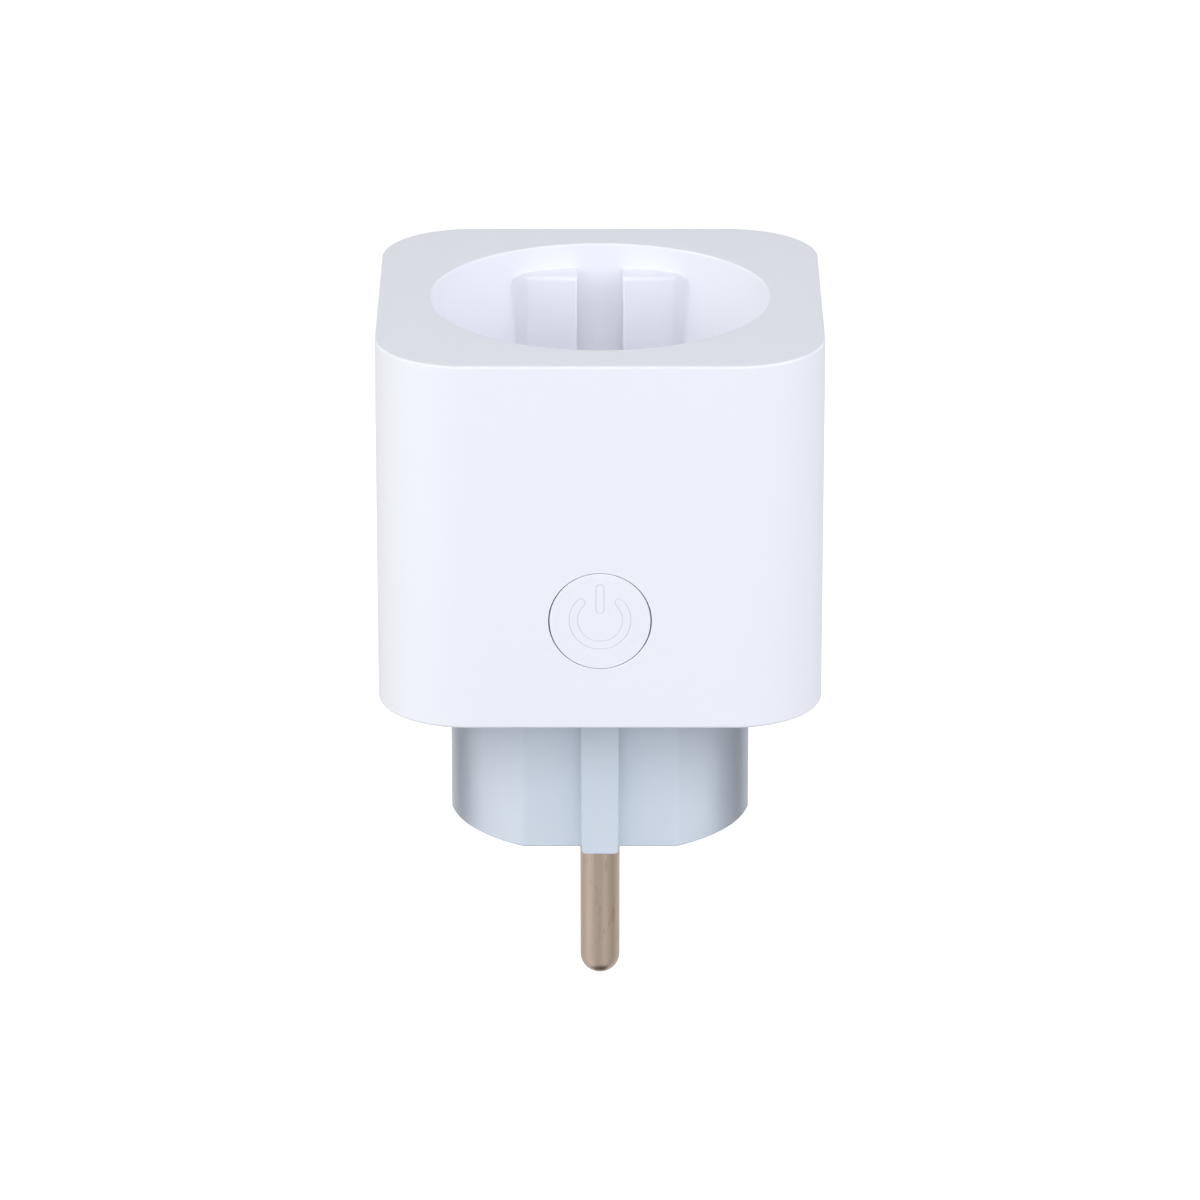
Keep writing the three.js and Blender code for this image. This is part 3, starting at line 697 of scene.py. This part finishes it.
def plug_base():
    outline = plug_outline(PLUG_RADIUS, PLUG_FLAT)
    body = prism("plug_base_moulding", outline, (0, CASE_BOTTOM + 1), (0.3, 0), steps=4)
    edge = [(1, CASE_BOTTOM), (0, CASE_BOTTOM, 0.2), (0, PLATE_TOP, 0.2), (1, PLATE_TOP)]
    plate = loft("plate", [square_ring(HALF - PLATE_HALF + d, z) for d, z in rounded(edge)])
    post, post_top, post_x, post_y = 1.6, 24.7, 21, 10
    spots = [(x * post_x, y * post_y) for x, y in CORNERS]
    posts = [rod("post", post, (PLATE_TOP - 0.5, post_top), (0, 0.2), centre=spot) for spot in spots]
    solid_base = join(body, plate, guide_rib(-1), guide_rib(1), *posts)
    outline = plug_outline(PLUG_RADIUS - PLUG_WALL, PLUG_FLAT - PLUG_WALL)
    beside_slots = (-14.3, 14.3)
    hollow = common(
        prism("tool", outline, (PLUG_FACE, PLATE_TOP + 1), (0.5, 0)),
        block("tool", beside_slots, (-20, 20), (0, PLATE_TOP + 2)),
    )
    cut(solid_base, hollow)
    bore, outer, foot, top = 3.7, 4.6, 2.6, 6
    ring = [(bore, foot), (outer, foot), (outer, top, 0.2), (bore, top, 0.2)]
    join(solid_base, *[lathe("collar", ring, "z", pin, 40, closed=True) for pin in PINS])
    pin_bore, head_bore, head_seat, shank_bore, slot_step = 2.6, 2.45, 21.3, 1.4, 17
    holes = [drill(pin_bore, (PLUG_FACE + 1, 0), 0.15, centre=pin) for pin in PINS]
    for side in SIDES:
        across = sorted((side * SLOT_X[0], side * (PLUG_RADIUS + 1)))
        holes.append(block("tool", across, (-SLOT_HALF, SLOT_HALF), (-1, slot_step)))
        holes.append(slot_tool(side, (slot_step - 1, PLATE_TOP + 1)))
    for boss in BOSSES:
        holes.append(drill(head_bore, (head_seat, CASE_BOTTOM), 0.2, centre=boss))
        holes.append(drill(shank_bore, (head_seat - 0.3, PLATE_TOP), 0.1, centre=boss, sides=24))
    place(cut(solid_base, *holes), grey, "plug_base")


def plug_pin(node, y):
    """A pin with a round nose, a collar inside the plug and a thinner tail up to the main board."""
    tip = box_of(node)[0].z
    radius, collar, tail, end = 2.4, 3.4, 1.2, 27
    turns = [k * math.pi / 32 for k in range(17)]
    nose = [(radius * math.sin(a), tip + radius * (1 - math.cos(a))) for a in turns]
    shank = [
        (radius, -1), (radius, 3.3), (collar, 3.3, 0.15), (collar, 4.8, 0.15), (radius, 4.8),
        (radius, 9), (tail, 10), (tail, end, 0.3), (0, end),
    ]
    place(lathe(f"{node}_turned", nose + shank, "z", (0, y)), nickel, node)


# Screws and earth parts


def thread(name, core, crest, pitch, heights, centre, sides=24):
    """A shank with a helical thread, which fades out at both ends."""
    low, high = heights
    steps = round((high - low) / pitch * 8)
    rings = []
    for i in range(steps + 1):
        z = low + (high - low) * i / steps
        fade = min(1, (z - low) / pitch, (high - z) / (2 * pitch))
        ring = []
        for k in range(sides):
            phase = (z / pitch + k / sides) % 1
            radius = core + fade * (crest - core) * max(0, 1 - abs(phase - 0.5) * 3.2)
            angle = math.tau * k / sides
            ring.append((centre[0] + radius * math.cos(angle), centre[1] + radius * math.sin(angle), z))
        rings.append(ring)
    return loft(name, rings)


def case_screw(number, centre):
    """A screw with a cross recess in its head."""
    node = f"case_screw_{number}"
    low, high = box_of(node)
    head, neck, under_head = 2.2, 1.05, 21.1
    profile = [
        (0, low.z), (head, low.z, 0.35), (head, under_head, 0.1),
        (neck, under_head), (neck, 21.4), (0, 21.4),
    ]
    screw = lathe(f"{node}_turned", profile, "z", centre, 40)
    for half in ((0.28, 1.3), (1.3, 0.28)):
        rings = []
        for z, width in ((low.z - 0.2, 1.15), (low.z + 0.75, 0.62)):
            x, y = [about(0, reach * width) for reach in half]
            rings.append([(centre[0] + p.x, centre[1] + p.y, z) for p in rounded(rectangle(x, y))])
        cut(screw, loft("tool", rings))
    group(screw, thread("thread", 0.82, 1.1, 0.9, (21.2, high.z), centre))
    place(screw, steel, node)


def rivet_hole(start, end):
    return rod("tool", RIVET_RADIUS, (start, end), axis="x", centre=(0, RIVET_Z))


def earth_strip(node, side):
    """A strip that stands in its slot in the plug, with a bowed clip in the socket recess."""
    low, high = box_of(node)
    inner, outer = 16.3, 17.1
    bow = 0.8
    bend = RECESS_FLOOR + 2
    knee = high.z - 3
    outline = [
        (inner, low.z, 0.15), (outer, low.z, 0.3), (outer, bend, 6), (outer - bow, knee, 2.5),
        (outer, high.z, 0.2), (inner, high.z, 0.2), (inner - bow, knee, 2.5), (inner, bend, 6),
    ]
    outline = turned(outline, side)
    strip = prism(f"{node}_pressed", outline, (low.y, high.y), (0.12, 0.12), "y", corners=6)
    place(cut(strip, rivet_hole(side * 15, side * 19)), tin, node)


def earth_bridge():
    """A strip under the main board with its ends turned up against the earth strips."""
    low, high = box_of("earth_bridge")
    wall = 0.6
    outline = [
        (low.x, high.z, 0.1), (low.x, low.z, 0.6), (high.x, low.z, 0.6), (high.x, high.z, 0.1),
        (high.x - wall, high.z, 0.1), (high.x - wall, low.z + wall, 0.2),
        (low.x + wall, low.z + wall, 0.2), (low.x + wall, high.z, 0.1),
    ]
    bridge = prism("earth_bridge_pressed", outline, (low.y, high.y), (0.1, 0.1), "y")
    place(cut(bridge, rivet_hole(-17, 17)), tin, "earth_bridge")


def earth_rivet(node, side):
    shank, inner, outer, head = 0.5, 14.4, 17.9, 0.5
    profile = [
        (0, inner), (RIVET_RADIUS, inner, 0.25), (RIVET_RADIUS, inner + head),
        (shank, inner + head), (shank, outer - head), (RIVET_RADIUS, outer - head),
        (RIVET_RADIUS, outer, 0.25), (0, outer),
    ]
    place(lathe(f"{node}_turned", turned(profile, v=side), "x", (0, RIVET_Z), 24), brass, node)


# Boards


def tinned(node, shells):
    """Tinned leads, pins or pads of a part, as one piece."""
    place(group(*shells), solder, node, slot="earth_tin")


def leads(node, spots, radius=LEAD_RADIUS):
    """Leads that pass through the main board, each with a cone of solder under it."""
    tip = BOARD_BOTTOM - 0.9
    profile = [
        (0, tip), (radius, tip, 0.12), (radius, BOARD_BOTTOM - 0.6, 0.2),
        (radius * 2.4, BOARD_BOTTOM), (radius, BOARD_BOTTOM + 0.1), (radius, SEAT + 0.3),
        (0, SEAT + 0.3),
    ]
    tinned(node, [lathe(f"{node}_leads", profile, "z", spot, 16) for spot in spots])


def main_board():
    low, high = box_of("main_board")
    outline = rectangle((low.x, high.x), (low.y, high.y), 7.6)
    plate = prism("main_board_laminate", outline, (low.z, high.z), (0.1, 0.1), corners=16)
    through = (low.z - 1, high.z + 1)
    pin_tail, contact_leg = 1.6, 0.8
    holes = [drill(BOSS_RADIUS + 0.5, through, centre=boss) for boss in BOSSES]
    for side in SIDES:
        y = side * PIN_Y
        holes.append(drill(pin_tail, through, centre=(0, y), sides=32))
        holes += [drill(contact_leg, through, centre=(x, y), sides=20) for x in CONTACT_LEGS]
        holes.append(slot_tool(side, through))
    place(cut(plate, *holes), board, "main_board")


def control_board():
    low, high = box_of("control_board")
    plate = block("control_board_laminate", *spans("control_board"), 0.8, (0.1, 0.1), "y")
    through = (low.y - 1, high.y + 1)
    spots = [(side * 13.8, high.z - 1.6) for side in SIDES]
    holes = [drill(0.9, through, axis="y", centre=spot, sides=24) for spot in spots]
    place(cut(plate, *holes), board, "control_board")


def wifi_shield():
    """A can, open at its back, with vent holes and notches along its seam."""
    low, high = box_of("wifi_shield")
    wall = 0.3
    can = block("wifi_shield_can", *spans("wifi_shield"), 0.9, (0, 0.35), "y")
    hollow = spans("wifi_shield", (wall, wall), (-1, wall), (wall, wall))
    tools = [block("tool", *hollow, 0.6, (0, 0.1), "y")]
    for column in (-3, -1, 1, 3):
        for row in (-3, -1, 1, 3):
            spot = ((low.x + high.x) / 2 + column, (low.z + high.z) / 2 + row)
            tools.append(drill(0.3, (high.y - 1, high.y + 1), axis="y", centre=spot, sides=16))
    for x in (low.x + 2.5, high.x - 2.5):
        tools.append(block("tool", about(x, 0.6), (low.y - 1, low.y + 0.4), (low.z - 1, high.z + 1)))
    place(cut(can, *tools), shield, "wifi_shield")


def board_header():
    """A notched strip with six square pins, which run on as leads."""
    low, high = box_of("board_header")
    top = low.z + 2.5
    strip = block("board_header_strip", (low.x, high.x), (low.y, high.y), (low.z, top), 0.2, (0.15, 0.15))
    columns = [low.x + 1.05 + 2 * i for i in range(6)]
    notches = []
    for x in (column - 1 for column in columns[1:]):
        for y in (low.y, high.y):
            notches.append(block("tool", about(x, 0.25), about(y, 0.3), (low.z - 1, top + 1)))
    place(cut(strip, *notches), black, "board_header")
    y, half = low.y + 1.2, 0.3
    tinned("board_header", [
        block("board_header_pins", about(x, half), about(y, half), (top - 0.4, high.z), 0.2, (0, 0.15))
        for x in columns
    ])
    leads("board_header", [(x, y) for x in columns], half)


def status_led():
    node = "status_led"
    low, high = box_of(node)
    body = block("status_led_body", *spans(node, (0.3, 0.3), (0.3, 0)), 0.15, (0.05, 0), "y")
    place(body, cream, node)
    room = spans(node, (0.45, 0.45), (0, 0.3), (0.1, 0.1))
    place(block("status_led_lens", *room, 0.3, (0.25, 0), "y"), led, node)
    y, z = (low.y + 0.4, high.y), (low.z, high.z)
    ends = ((low.x, low.x + 0.4), (high.x - 0.4, high.x))
    tinned(node, [block("status_led_pads", x, y, z, 0.1, (0.05, 0), "y") for x in ends])


def tact_switch():
    """A moulded base under a pressed cover with a stud at each corner, on four bent legs."""
    node = "tact_switch"
    front = box_of(node)[0].y
    centre = (0, BUTTON_Z)
    cover_front, cover_back = front + 0.05, front + 0.35
    base = block("tact_switch_base", *spans(node, y=(0.35, 0)), 0.5, (0, 0.1), "y")
    well = drill(1.7, (cover_back + 1.4, front - 1), axis="y", centre=centre, sides=32)
    place(cut(base, well), black, node)
    x, _, z = spans(node, (0.1, 0.1), z=(0.1, 0.1))
    cover = block("tact_switch_cover", x, (cover_front, cover_back + 0.02), z, 0.5, (0.12, 0), "y")
    cut(cover, drill(1.75, (cover_back + 1, cover_front), 0.1, "y", centre, 32))
    spots = [(x * 2.25, BUTTON_Z + z * 2.25) for x, z in CORNERS]
    studs = [rod("stud", 0.4, (front, front + 0.2), (0.05, 0), "y", spot, 16) for spot in spots]
    place(group(cover, *studs), shield, node, slot="shield_steel")
    foot, sheet = -19.8, 0.25
    leg = [
        (2.6, foot - 1), (3.35, foot - 1, 0.15), (3.35, foot - sheet, 0.15), (3.9, foot - sheet),
        (3.9, foot), (3.1, foot, 0.15), (3.1, foot - 0.75, 0.1), (2.6, foot - 0.75),
    ]
    legs = []
    for x, z in CORNERS:
        row = about(BUTTON_Z + z * 2.2, 0.35)
        legs.append(prism("tact_switch_legs", turned(leg, x), row, corners=3))
    tinned(node, legs)


def switch_plunger():
    low, high = box_of("switch_plunger")
    plunger = rod("switch_plunger_moulding", 1.45, (low.y, high.y), (0.35, 0.1), "y", (0, BUTTON_Z), 40)
    place(plunger, cream, "switch_plunger", body="plunger")


# Parts on the main board


def relay():
    low, high = box_of("relay")
    cover = block("relay_cover", *spans("relay", z=(1.1, 0)), 0.5, (0, 0.45))
    x, y, _ = spans("relay", (0.25, 0.25), (0.25, 0.25))
    base = block("relay_base", x, y, (low.z, low.z + 1.2), 0.5, (0.1, 0))
    spot = (high.x - 1.8, low.y + 1.8)
    foot, top = high.z - 0.5, high.z - 0.02
    profile = [(0, foot), (0.9, foot), (0.9, high.z - 0.1), (0.5, top, 0.05), (0, top)]
    nub = lathe("nub", profile, "z", spot, 24)
    well = drill(1.15, (high.z - 0.35, high.z), 0.1, centre=spot, sides=32)
    place(group(cut(cover, well), base, nub), relay_blue, "relay")
    middle = (low.x + high.x) / 2
    spots = [(middle + side * 3, low.y + 2) for side in SIDES]
    spots += [(middle + side * 3.6, high.y - 2) for side in SIDES]
    leads("relay", spots + [(middle, low.y + 8)], 0.5)


def bulk_capacitor(node):
    """A sleeved can, crimped near its foot, with a scored vent in its top."""
    low, high = box_of(node)
    centre = ((low.x + high.x) / 2, (low.y + high.y) / 2)
    radius, opening = 4, 3.35
    profile = [
        (0, low.z), (radius - 0.1, low.z, 0.25), (radius - 0.05, low.z + 0.9, 0.15),
        (radius - 0.25, low.z + 1.15, 0.2), (radius, low.z + 1.5, 0.2), (radius, high.z, 0.45),
        (opening, high.z, 0.1), (opening, high.z - 0.3), (0, high.z - 0.3),
    ]
    place(lathe(f"{node}_sleeve", profile, "z", centre, 48), sleeve, node)
    top = high.z - 0.12
    disc = rod(f"{node}_vent", 3.33, (high.z - 0.5, top), (0, 0.1), "z", centre, 48)
    for half in ((2.6, 0.08), (0.08, 2.6)):
        score = [about(middle, reach) for middle, reach in zip(centre, half)]
        cut(disc, block("tool", *score, (top - 0.1, high.z + 1)))
    place(disc, shield, node, slot="shield_steel")
    leads(node, [(centre[0] + side * 1.75, centre[1]) for side in SIDES], 0.3)


def x_capacitor():
    node = "x_capacitor"
    low, high = box_of(node)
    case = block("x_capacitor_case", *spans(node), 0.7, (0.1, 0.6))
    x, y, _ = spans(node, (0.5, 0.5), (0.5, 0.5))
    cut(case, block("tool", x, y, (low.z - 1, low.z + 0.5), 0.4))
    place(case, film_yellow, node)
    middle = (low.x + high.x) / 2
    leads(node, [(middle, low.y + 1.95), (middle, high.y - 1.95)])


def varistor():
    """A lacquered disc on edge, with the lacquer running down its two leads."""
    node = "varistor"
    low, high = box_of(node)
    middle = (low.x + high.x) / 2
    y, z, radius, shoulder, face = -10, 32.2, 4.8, 4.5, 3.2
    profile = [
        (0, low.x), (face, low.x, 1), (shoulder, low.x + 0.7, 1.2), (radius, middle, 1),
        (shoulder, high.x - 0.7, 1.2), (face, high.x, 1), (0, high.x),
    ]
    disc = lathe("varistor_disc", profile, "x", (y, z), steps=5)
    spots = [(middle, y + side * 2.5) for side in SIDES]
    profile = [(0, 27.9), (0.42, 27.9, 0.1), (0.75, 29.6, 0.8), (0.75, 31), (0, 31)]
    skirts = [lathe("skirt", profile, "z", spot, 20) for spot in spots]
    place(group(disc, *skirts), varistor_blue, node)
    leads(node, spots)
    heights = (SEAT, SEAT + 0.7, SEAT + 1.5)
    paths = [[(*spot, height) for height in heights] for spot in spots]
    tinned(node, [lead("varistor_wires", path) for path in paths])


def fuse_resistor():
    """A body with thicker ends, lying above the board on two bent leads."""
    node = "fuse_resistor"
    low, high = box_of(node)
    x, z = (low.x + high.x) / 2, 29.2
    start, end = 6, 13
    cap, waist, tip = 1.7, 1.5, 1.3
    profile = [
        (0, start), (tip, start, 0.3), (cap, start + 0.5, 0.4), (cap, start + 1.5, 0.3),
        (waist, start + 2, 0.3), (waist, end - 2, 0.3), (cap, end - 1.5, 0.3),
        (cap, end - 0.5, 0.4), (tip, end, 0.3), (0, end),
    ]
    place(lathe("fuse_resistor_body", profile, "y", (x, z), 40), resistor_grey, node)
    near, far = low.y + LEAD_RADIUS, high.y - LEAD_RADIUS
    wires = []
    for inner, outer in ((start + 0.3, near), (end - 0.3, far)):
        path = bent([(x, inner, z), (x, outer, z), (x, outer, SEAT)], 0.9)
        wires.append(lead("fuse_resistor_wires", path))
    tinned(node, wires)
    leads(node, [(x, near), (x, far)])


def power_inductor():
    """A drum core between two plates, with a ribbed winding."""
    low, high = box_of("power_inductor")
    x, y = (low.x, high.x), (low.y, high.y)
    centre = (10, -7.5)
    foot, plate = low.z + 1, high.z - 1
    shells = [
        block("power_inductor_core", x, y, (low.z, foot), 1.2, (0.15, 0.15)),
        block("plate", x, y, (plate, high.z), 1.2, (0.15, 0.15)),
        rod("drum", 2, (foot - 0.2, plate + 0.2), centre=centre, sides=40),
    ]
    place(group(*shells), ferrite, "power_inductor")
    turns, steps = 8, 6
    pitch = (plate - foot) / turns
    rib = [0.2 * abs(math.sin(math.pi * k / steps)) for k in range(steps * turns + 1)]
    profile = [(2.2 + out, foot + pitch * k / steps) for k, out in enumerate(rib)]
    profile = [(1.9, foot), *profile, (1.9, plate)]
    winding = lathe("power_inductor_winding", profile, "z", centre, 40, closed=True)
    place(winding, copper, "power_inductor")


def chip(node, legs):
    """An epoxy body with a dot in its top, and this many bent legs on each side."""
    low, high = box_of(node)
    reach = 0.7
    edges = (low.x + reach, high.x - reach)
    body = block(f"{node}_body", edges, (low.y, high.y), (low.z + 0.15, high.z), 0.3, (0.15, 0.2))
    dot = drill(0.3, (high.z - 0.12, high.z), 0.05, centre=(edges[0] + 0.8, high.y - 0.8), sides=20)
    place(cut(body, dot), epoxy, node)
    pitch = (high.y - low.y) / legs
    middle = (low.z + high.z) / 2
    seat = BOARD_TOP + 0.05
    shells = []
    for side, edge in zip(SIDES, edges):
        outline = [
            (-0.3, middle + 0.1), (0.32, middle + 0.1, 0.2), (0.4, seat + 0.2, 0.1),
            (reach, seat + 0.2), (reach, seat), (0.22, seat, 0.2), (0.14, middle - 0.1, 0.1),
            (-0.3, middle - 0.1),
        ]
        outline = [(edge + side * u, z, *radius) for u, z, *radius in outline]
        for i in range(legs):
            across = about(low.y + (i + 0.5) * pitch, 0.2)
            shells.append(prism(f"{node}_legs", outline, across, axis="y", corners=3))
    tinned(node, shells)


def current_shunt():
    """A strip bridged over the board, between two feet."""
    low, high = box_of("current_shunt")
    lift = 0.3
    outline = [
        (low.y, low.z - 0.2), (low.y + 1.2, low.z - 0.2), (low.y + 1.4, low.z + lift, 0.2),
        (high.y - 1.4, low.z + lift, 0.2), (high.y - 1.2, low.z - 0.2), (high.y, low.z - 0.2),
        (high.y, high.z - 0.15, 0.15), (high.y - 1, high.z, 0.3), (low.y + 1, high.z, 0.3),
        (low.y, high.z - 0.15, 0.15),
    ]
    bridge = prism("current_shunt_strip", outline, (low.x, high.x), (0.08, 0.08), "x")
    place(bridge, shield, "current_shunt")


# Contacts and shutter


def contact_carrier():
    """A tower with a well for each contact, and a post on its top that the shutter turns on."""
    low, high = box_of("contact_carrier")
    roof = CARRIER_TOP - 0.8
    x, y, _ = spans("contact_carrier")
    body = block("contact_carrier_moulding", x, y, (low.z, CARRIER_TOP), 0.8, (0.15, 0.35))
    tools = [block("tool", (-3.7, 3.7), (-4.2, 4.2), (low.z - 1, CARRIER_TOP - 1.5), 0.5)]
    for pin in PINS:
        tools.append(drill(3.9, (low.z - 1, roof), centre=pin))
        tools.append(drill(PIN_HOLE, (roof - 0.5, CARRIER_TOP), 0.25, centre=pin))
    cut(body, *tools)
    join(body, rod("pivot", 1.7, (CARRIER_TOP - 0.5, high.z), (0, 0.3), sides=40))
    place(body, cream, "contact_carrier")


def socket_contact(node, y):
    """A pressed cup whose wall is slit into four sprung fingers, on two legs."""
    low, high = box_of(node)
    foot, sheet = 27.3, 0.8
    radius, bore, waist = 3.4, 2.6, 39.6
    profile = [
        (0, foot), (radius, foot, 0.35), (radius, 38, 1.5), (3.2, waist, 1.5),
        (radius, high.z, 0.15), (3, high.z, 0.15), (bore, waist + 0.1, 1.5),
        (bore, foot + sheet, 0.3), (0, foot + sheet),
    ]
    cup = lathe(f"{node}_pressed", profile, "z", (0, y), 64)
    heights = (31, high.z + 2)
    slits = [
        block("tool", about(0, 4), about(y, 0.4), heights, 0.39, axis="x"),
        block("tool", about(0, 0.4), about(y, 4), heights, 0.39, axis="y"),
    ]
    legs = [rod("leg", 0.5, (low.z, foot + 0.3), (0.15, 0), "z", (x, y), 20) for x in CONTACT_LEGS]
    place(group(cut(cup, *slits), *legs), brass, node)


def shutter():
    """A rotor with two lobes over the pin holes. Each lobe slopes, so that a pin pushes it aside."""
    low, high = box_of("shutter")
    heights, edges = (low.z, high.z), (0.2, 0.25)
    lobes = block("shutter_moulding", (-3.3, 3.3), (-14, 14), heights, 0, edges)
    common(lobes, rod("tool", high.y, heights, edges, sides=96))
    join(lobes, rod("hub", 5.2, heights, edges, sides=64))
    floor = low.z + 0.7
    tools = [drill(1.9, (low.z - 1, floor + 0.2), sides=40), drill(3.5, (floor, high.z), 0.15)]
    foot, above = high.z - 1.9, high.z + 1
    for side in SIDES:
        near, far = side * -1, side * 4
        slope = [(near, high.z), (far, foot), (far, above), (near, above)]
        tools.append(prism("tool", slope, sorted((side * 6, side * 14)), axis="y"))
    place(cut(lobes, *tools), shutter_grey, "shutter", body="shutter_rotor")


# Assembly

casing()
plug_base()
plug_pin("pin_line", -PIN_Y)
plug_pin("pin_neutral", PIN_Y)
for number, boss in enumerate(BOSSES, 1):
    case_screw(number, boss)
earth_strip("earth_strip_left", -1)
earth_strip("earth_strip_right", 1)
earth_bridge()
earth_rivet("earth_rivet_left", -1)
earth_rivet("earth_rivet_right", 1)
button()
main_board()
control_board()
wifi_shield()
board_header()
status_led()
tact_switch()
switch_plunger()
relay()
bulk_capacitor("bulk_capacitor_1")
bulk_capacitor("bulk_capacitor_2")
x_capacitor()
varistor()
fuse_resistor()
power_inductor()
chip("bridge_rectifier", 2)
chip("regulator_chip", 3)
chip("metering_chip", 8)
current_shunt()
contact_carrier()
socket_contact("socket_contact_line", -PIN_Y)
socket_contact("socket_contact_neutral", PIN_Y)
shutter()
for material_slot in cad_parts["shutter_spring"].material_slots:
    material_slot.material = spring_wire


# Stage


def card(name, corners, material_name, tone):
    """A flat, matt piece of the stage, and its shader."""
    mesh = bpy.data.meshes.new(name)
    mesh.from_pydata(corners, [], [(0, 1, 2, 3)])
    material, _, shader = new_material(material_name, roughness=0.9)
    shader.inputs["Base Color"].default_value = (tone, tone, tone, 1)
    mesh.materials.append(material)
    obj = new_object(name, mesh)
    return obj, shader


def pale_floor():
    """A floor far below, bright to the camera. The world lights the object from below in its place."""
    half, height = 8.0, -0.6
    floor, shader = card("floor", [(x * half, y * half, height) for x, y in CORNERS], "pale_floor", 0.9)
    shader.inputs["Emission Color"].default_value = (1, 1, 1, 1)
    shader.inputs["Emission Strength"].default_value = 0.9
    floor.visible_diffuse = False
    floor.visible_glossy = False
    floor.visible_transmission = False
    floor.visible_shadow = False


def around(azimuth, elevation, distance):
    """A place round the object. Azimuth 0 is in front of it and 90 on its right."""
    a, e = math.radians(azimuth), math.radians(elevation)
    return Vector((math.sin(a) * math.cos(e), -math.cos(a) * math.cos(e), math.sin(e))) * distance


def softbox(name, azimuth, elevation, size, power, colour):
    """An area light that faces the object."""
    data = bpy.data.lights.new(name, "AREA")
    data.shape = "RECTANGLE"
    data.size, data.size_y = size
    data.energy = power
    data.color = colour
    light = new_object(name, data)
    light.location = around(azimuth, elevation, LIGHT_DISTANCE)
    aim = Vector((0, 0, LIGHT_AIM)) - light.location
    light.rotation_euler = aim.to_track_quat("-Z", "Y").to_euler()
    light.visible_camera = False


def flag(azimuth, half_width):
    """A narrow dark card close beside the plug, out of the camera's sight, that shades one edge of it."""
    low, high = FLAG_HEIGHTS
    a = math.radians(azimuth)
    middle = Vector((math.sin(a), -math.cos(a), 0)) * FLAG_DISTANCE
    across = Vector((math.cos(a), math.sin(a), 0)) * half_width
    ends = ((-1, low), (-1, high), (1, high), (1, low))
    corners = [middle + side * across + Vector((0, 0, z)) for side, z in ends]
    dark, _ = card("flag", corners, "dark_card", 0.02)
    dark.visible_camera = False


LIGHT_DISTANCE = 1.3
LIGHT_AIM = 0.03
# Name, azimuth, elevation, size, power and colour.
LIGHTS = [
    ("key", 0, 27, (1.4, 1.2), 8.65, (0.884, 0.918, 1.0)),
    ("left_key", -50, 30, (0.8, 1.0), 3.8, (0.95, 0.965, 1.0)),
    ("right_key", 50, 30, (0.8, 1.0), 4.0, (0.93, 0.955, 1.0)),
    ("left_box", -80, 30, (0.5, 0.8), 5.2, (1.0, 0.985, 0.89)),
    ("right_box", 80, 30, (0.5, 0.8), 4.7, (0.97, 0.97, 1.0)),
    ("back_box", 180, 48, (0.8, 0.5), 1.6, (0.96, 0.96, 1.0)),
    ("rear_left_box", -138, 25, (0.8, 0.6), 2.1, (0.96, 0.96, 1.0)),
    ("rear_right_box", 138, 25, (0.8, 0.6), 2.1, (0.96, 0.96, 1.0)),
]
FLAG_DISTANCE = 0.0245
FLAG_HEIGHTS = (-0.006, 0.019)
SKY = 0.18
GROUND = 0.62
# The ground's brightness at each azimuth, as parts of GROUND.
GROUND_BANDS = [
    (-180, 1.2), (-150, 1.1), (-116, 0.95), (-67, 1.3), (-30, 0.95), (-6, 0.82), (29, 1.05),
    (81, 0.7), (116, 1.0), (150, 1.1), (180, 1.2),
]


def studio_world():
    """An even sky, and a ground that changes with the azimuth and is dark straight below."""
    world = bpy.data.worlds.new("studio")
    world.use_nodes = True
    tree = world.node_tree
    direction = add(tree, "TexCoord").outputs["Generated"]
    parts = add(tree, "SeparateXYZ", {"Vector": direction})
    toward = maths(tree, "MULTIPLY", parts.outputs["Y"], -1.0)
    angle = maths(tree, "ARCTAN2", parts.outputs["X"], toward)
    turn = maths(tree, "MULTIPLY_ADD", angle, 1 / math.tau, 0.5)
    bands = [(a / 360 + 0.5, (GROUND * v * 0.98, GROUND * v * 0.985, GROUND * v)) for a, v in GROUND_BANDS]
    ground = ramp(tree, turn, bands)
    height = parts.outputs["Z"]
    nadir = add(tree, "MapRange", {"Value": height, "From Min": -0.97, "From Max": -0.85, "To Min": 0.2})
    ground = add(tree, "VectorMath", {0: ground, 1: nadir.outputs[0]}, operation="MULTIPLY").outputs[0]
    rise = add(tree, "MapRange", {"Value": height, "From Min": -0.12, "From Max": 0.08})
    mix = add(tree, "Mix", data_type="RGBA")
    tree.links.new(rise.outputs["Result"], mix.inputs[0])
    tree.links.new(ground, mix.inputs[6])
    mix.inputs[7].default_value = (SKY * 0.96, SKY * 0.97, SKY, 1)
    tree.links.new(mix.outputs[2], tree.nodes["Background"].inputs["Color"])
    bpy.context.scene.world = world


def lights():
    studio_world()
    for light in LIGHTS:
        softbox(*light)
    flag(-68, 0.0025)
    flag(65, 0.0034)


def camera():
    """A long lens that looks down on the front."""
    data = bpy.data.cameras.new("camera")
    data.lens = 211.3
    data.sensor_width = 36
    data.clip_start = 0.01
    elevation, distance, aim = math.radians(20.69), 0.856, Vector((0, 0, 0.02588))
    back = Vector((0, -math.cos(elevation), math.sin(elevation)))
    eye = new_object("camera", data)
    eye.location = aim + back * distance
    eye.rotation_euler = (-back).to_track_quat("-Z", "Y").to_euler()
    bpy.context.scene.camera = eye


pale_floor()
lights()
camera()
bpy.context.scene.view_settings.view_transform = "Standard"
